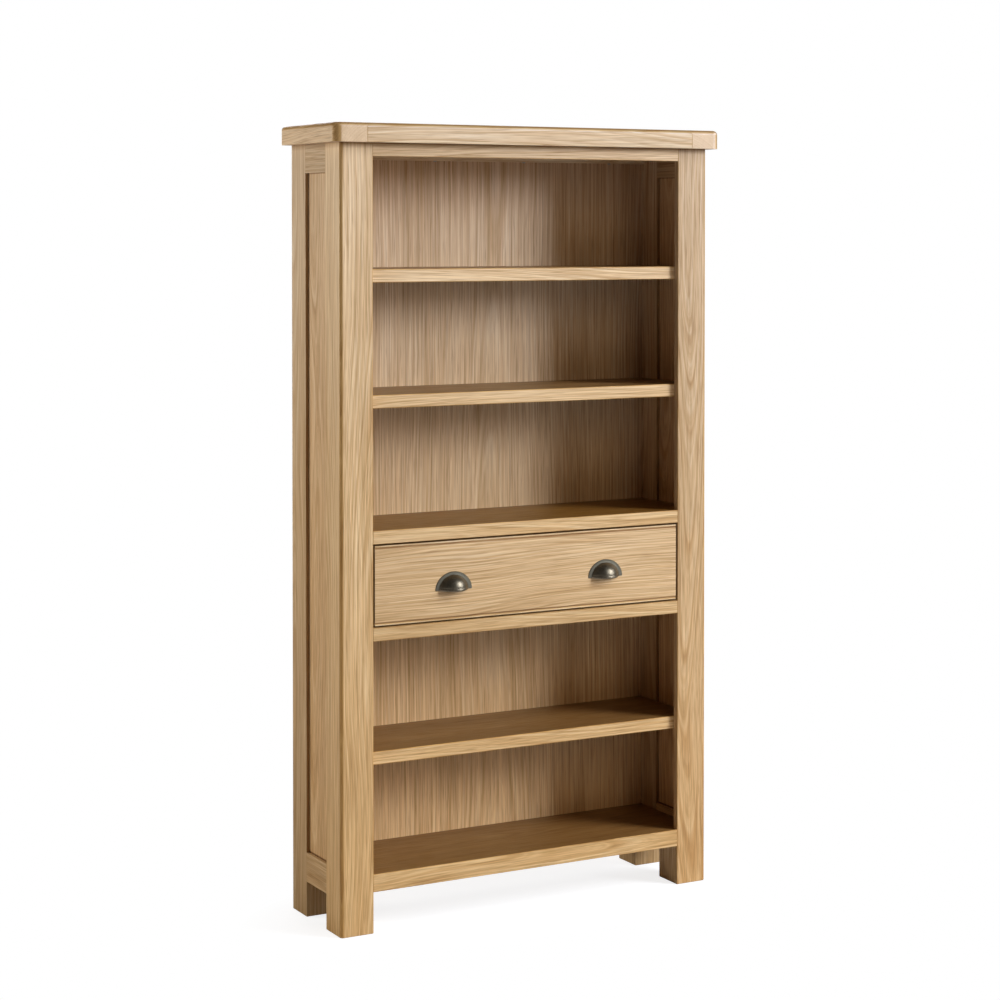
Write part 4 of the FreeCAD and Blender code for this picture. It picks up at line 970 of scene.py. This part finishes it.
class BOOKCASE_OT_stage(bpy.types.Operator):
    """Sets the floor, the white room, the lamps and the camera"""

    bl_idname = "bookcase.stage"
    bl_label = "Stage"

    def execute(self, context):
        scene = context.scene
        scene.view_settings.view_transform = "Standard"
        bpy.ops.object.select_all(action="DESELECT")
        bpy.ops.mesh.primitive_plane_add(size=14, location=(0, 0, -0.0004))
        floor = active()
        bpy.ops.object.transform_apply(location=True, rotation=True, scale=True)
        floor.name = "studio_floor"
        # Paper, matt white, lit so strongly that only the shadows at the feet show; what it throws back
        # onto the bookcase is that of plain matt paper
        paper, tree = new_material("Paper, matt white")
        seen = add(tree, "ShaderNodeLightPath")
        matt = add(tree, "ShaderNodeBsdfDiffuse", {"Color": linear("#c8c8c8"), "Roughness": 0.6})
        shaded = add(tree, "ShaderNodeBsdfDiffuse", {"Color": linear("#a6abb4"), "Roughness": 0.6})
        glow = add(tree, "ShaderNodeEmission", {"Color": WHITE, "Strength": 0.80})
        near = add(tree, "ShaderNodeAddShader", {0: shaded, 1: glow})
        # A hand's width from the feet the paper is as white as the room
        place = add(tree, "ShaderNodeTexCoord")
        squeezed = add(
            tree, "ShaderNodeVectorMath", {0: place.outputs["Object"], 1: (1, 2, 0)}, operation="MULTIPLY"
        )
        far = add(tree, "ShaderNodeVectorMath", {0: squeezed}, operation="LENGTH")
        fade = add(tree, "ShaderNodeMapRange", {
            "Value": far.outputs["Value"], "From Min": 0.46, "From Max": 0.66,
        })
        white = add(tree, "ShaderNodeEmission", {"Color": WHITE, "Strength": 1.0})
        bright = add(tree, "ShaderNodeMixShader", {0: fade, 1: near, 2: white})
        shown = add(tree, "ShaderNodeMixShader", {0: seen.outputs["Is Camera Ray"], 1: matt, 2: bright})
        add(tree, "ShaderNodeOutputMaterial", {"Surface": shown})
        floor.data.materials.append(paper)
        room = bpy.data.worlds.new("White room")
        scene.world = room
        room.use_nodes = True
        room.node_tree.nodes.clear()
        tree = room.node_tree
        seen = add(tree, "ShaderNodeLightPath")
        dim = add(tree, "ShaderNodeBackground", {"Color": linear("#ffd6c8"), "Strength": 0.045})
        white = add(tree, "ShaderNodeBackground", {"Color": WHITE, "Strength": 1.0})
        # What shines in the metal, the bright studio, is more than what lights the wood
        mirrored = add(tree, "ShaderNodeBackground", {"Color": linear("#fff6e8"), "Strength": 0.055})
        lit = add(tree, "ShaderNodeMixShader", {0: seen.outputs["Is Glossy Ray"], 1: dim, 2: mirrored})
        shown = add(tree, "ShaderNodeMixShader", {0: seen.outputs["Is Camera Ray"], 1: lit, 2: white})
        add(tree, "ShaderNodeOutputWorld", {"Surface": shown})
        lamps = scene.bookcase_stage
        lamp("key", 50, 16, 12.0, 6.0, lamps.key, "#fff8f0", shines=False)
        lamp("key_high", 45, 42, 12.0, 4.2, lamps.key_high, "#fffaf4", shines=False)
        lamp("glint", 47, 20, 6.0, 1.7, lamps.glint, "#ffffff")
        lamp("fill", 2, 22, 7.0, 2.8, lamps.fill, "#ffdfb4", shines=False)
        lamp("left", -120, 6, 2.8, 1.1, lamps.left, "#fff2dd", 1.25)
        lamp("rear", 165, 26, 4.0, 2.0, lamps.rear, "#fbfaff")
        bpy.ops.object.camera_add(
            location=(-2.60424, -4.72461, 1.56397),
            rotation=(math.radians(90 - 1.30), 0, math.radians(-28.72)),
        )
        camera = active()
        camera.data.lens = 83.09
        camera.data.sensor_width = 36
        camera.data.shift_y = -0.2177
        scene.camera = camera
        return {"FINISHED"}


class BOOKCASE_PT_panel(bpy.types.Panel):
    """The steps that dress the bookcase, and what a user may change before them"""

    bl_idname = "BOOKCASE_PT_panel"
    bl_label = "Bookcase"
    bl_space_type = "VIEW_3D"
    bl_region_type = "UI"
    bl_category = "Bookcase"

    def draw(self, context):
        scene = context.scene
        for group in (getattr(scene, name) for name in GROUPS):
            box = self.layout.box()
            for name in group.__annotations__:
                box.prop(group, name)
        for step in STEPS:
            self.layout.operator(step.bl_idname)


GROUPS = {
    "bookcase_wood": BookcaseWood,
    "bookcase_metal": BookcaseMetal,
    "bookcase_fittings": BookcaseFittings,
    "bookcase_stage": BookcaseStage,
}

STEPS = (
    BOOKCASE_OT_posts,
    BOOKCASE_OT_sides,
    BOOKCASE_OT_rails,
    BOOKCASE_OT_boards,
    BOOKCASE_OT_back,
    BOOKCASE_OT_top,
    BOOKCASE_OT_runners,
    BOOKCASE_OT_drawer,
    BOOKCASE_OT_pulls,
    BOOKCASE_OT_screws,
    BOOKCASE_OT_pins,
    BOOKCASE_OT_stage,
)


def register():
    """Makes the groups, steps and panel known."""
    for kind in (*GROUPS.values(), *STEPS, BOOKCASE_PT_panel):
        bpy.utils.register_class(kind)
    for name, kind in GROUPS.items():
        setattr(bpy.types.Scene, name, PointerProperty(type=kind))


def unregister():
    """Takes back what register did."""
    for name in GROUPS:
        delattr(bpy.types.Scene, name)
    for kind in (BOOKCASE_PT_panel, *reversed(STEPS), *reversed(GROUPS.values())):
        bpy.utils.unregister_class(kind)


def main():
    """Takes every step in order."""
    register()
    for step in STEPS:
        getattr(bpy.ops.bookcase, step.bl_idname.split(".")[1])()


if __name__ == "__main__":
    main()
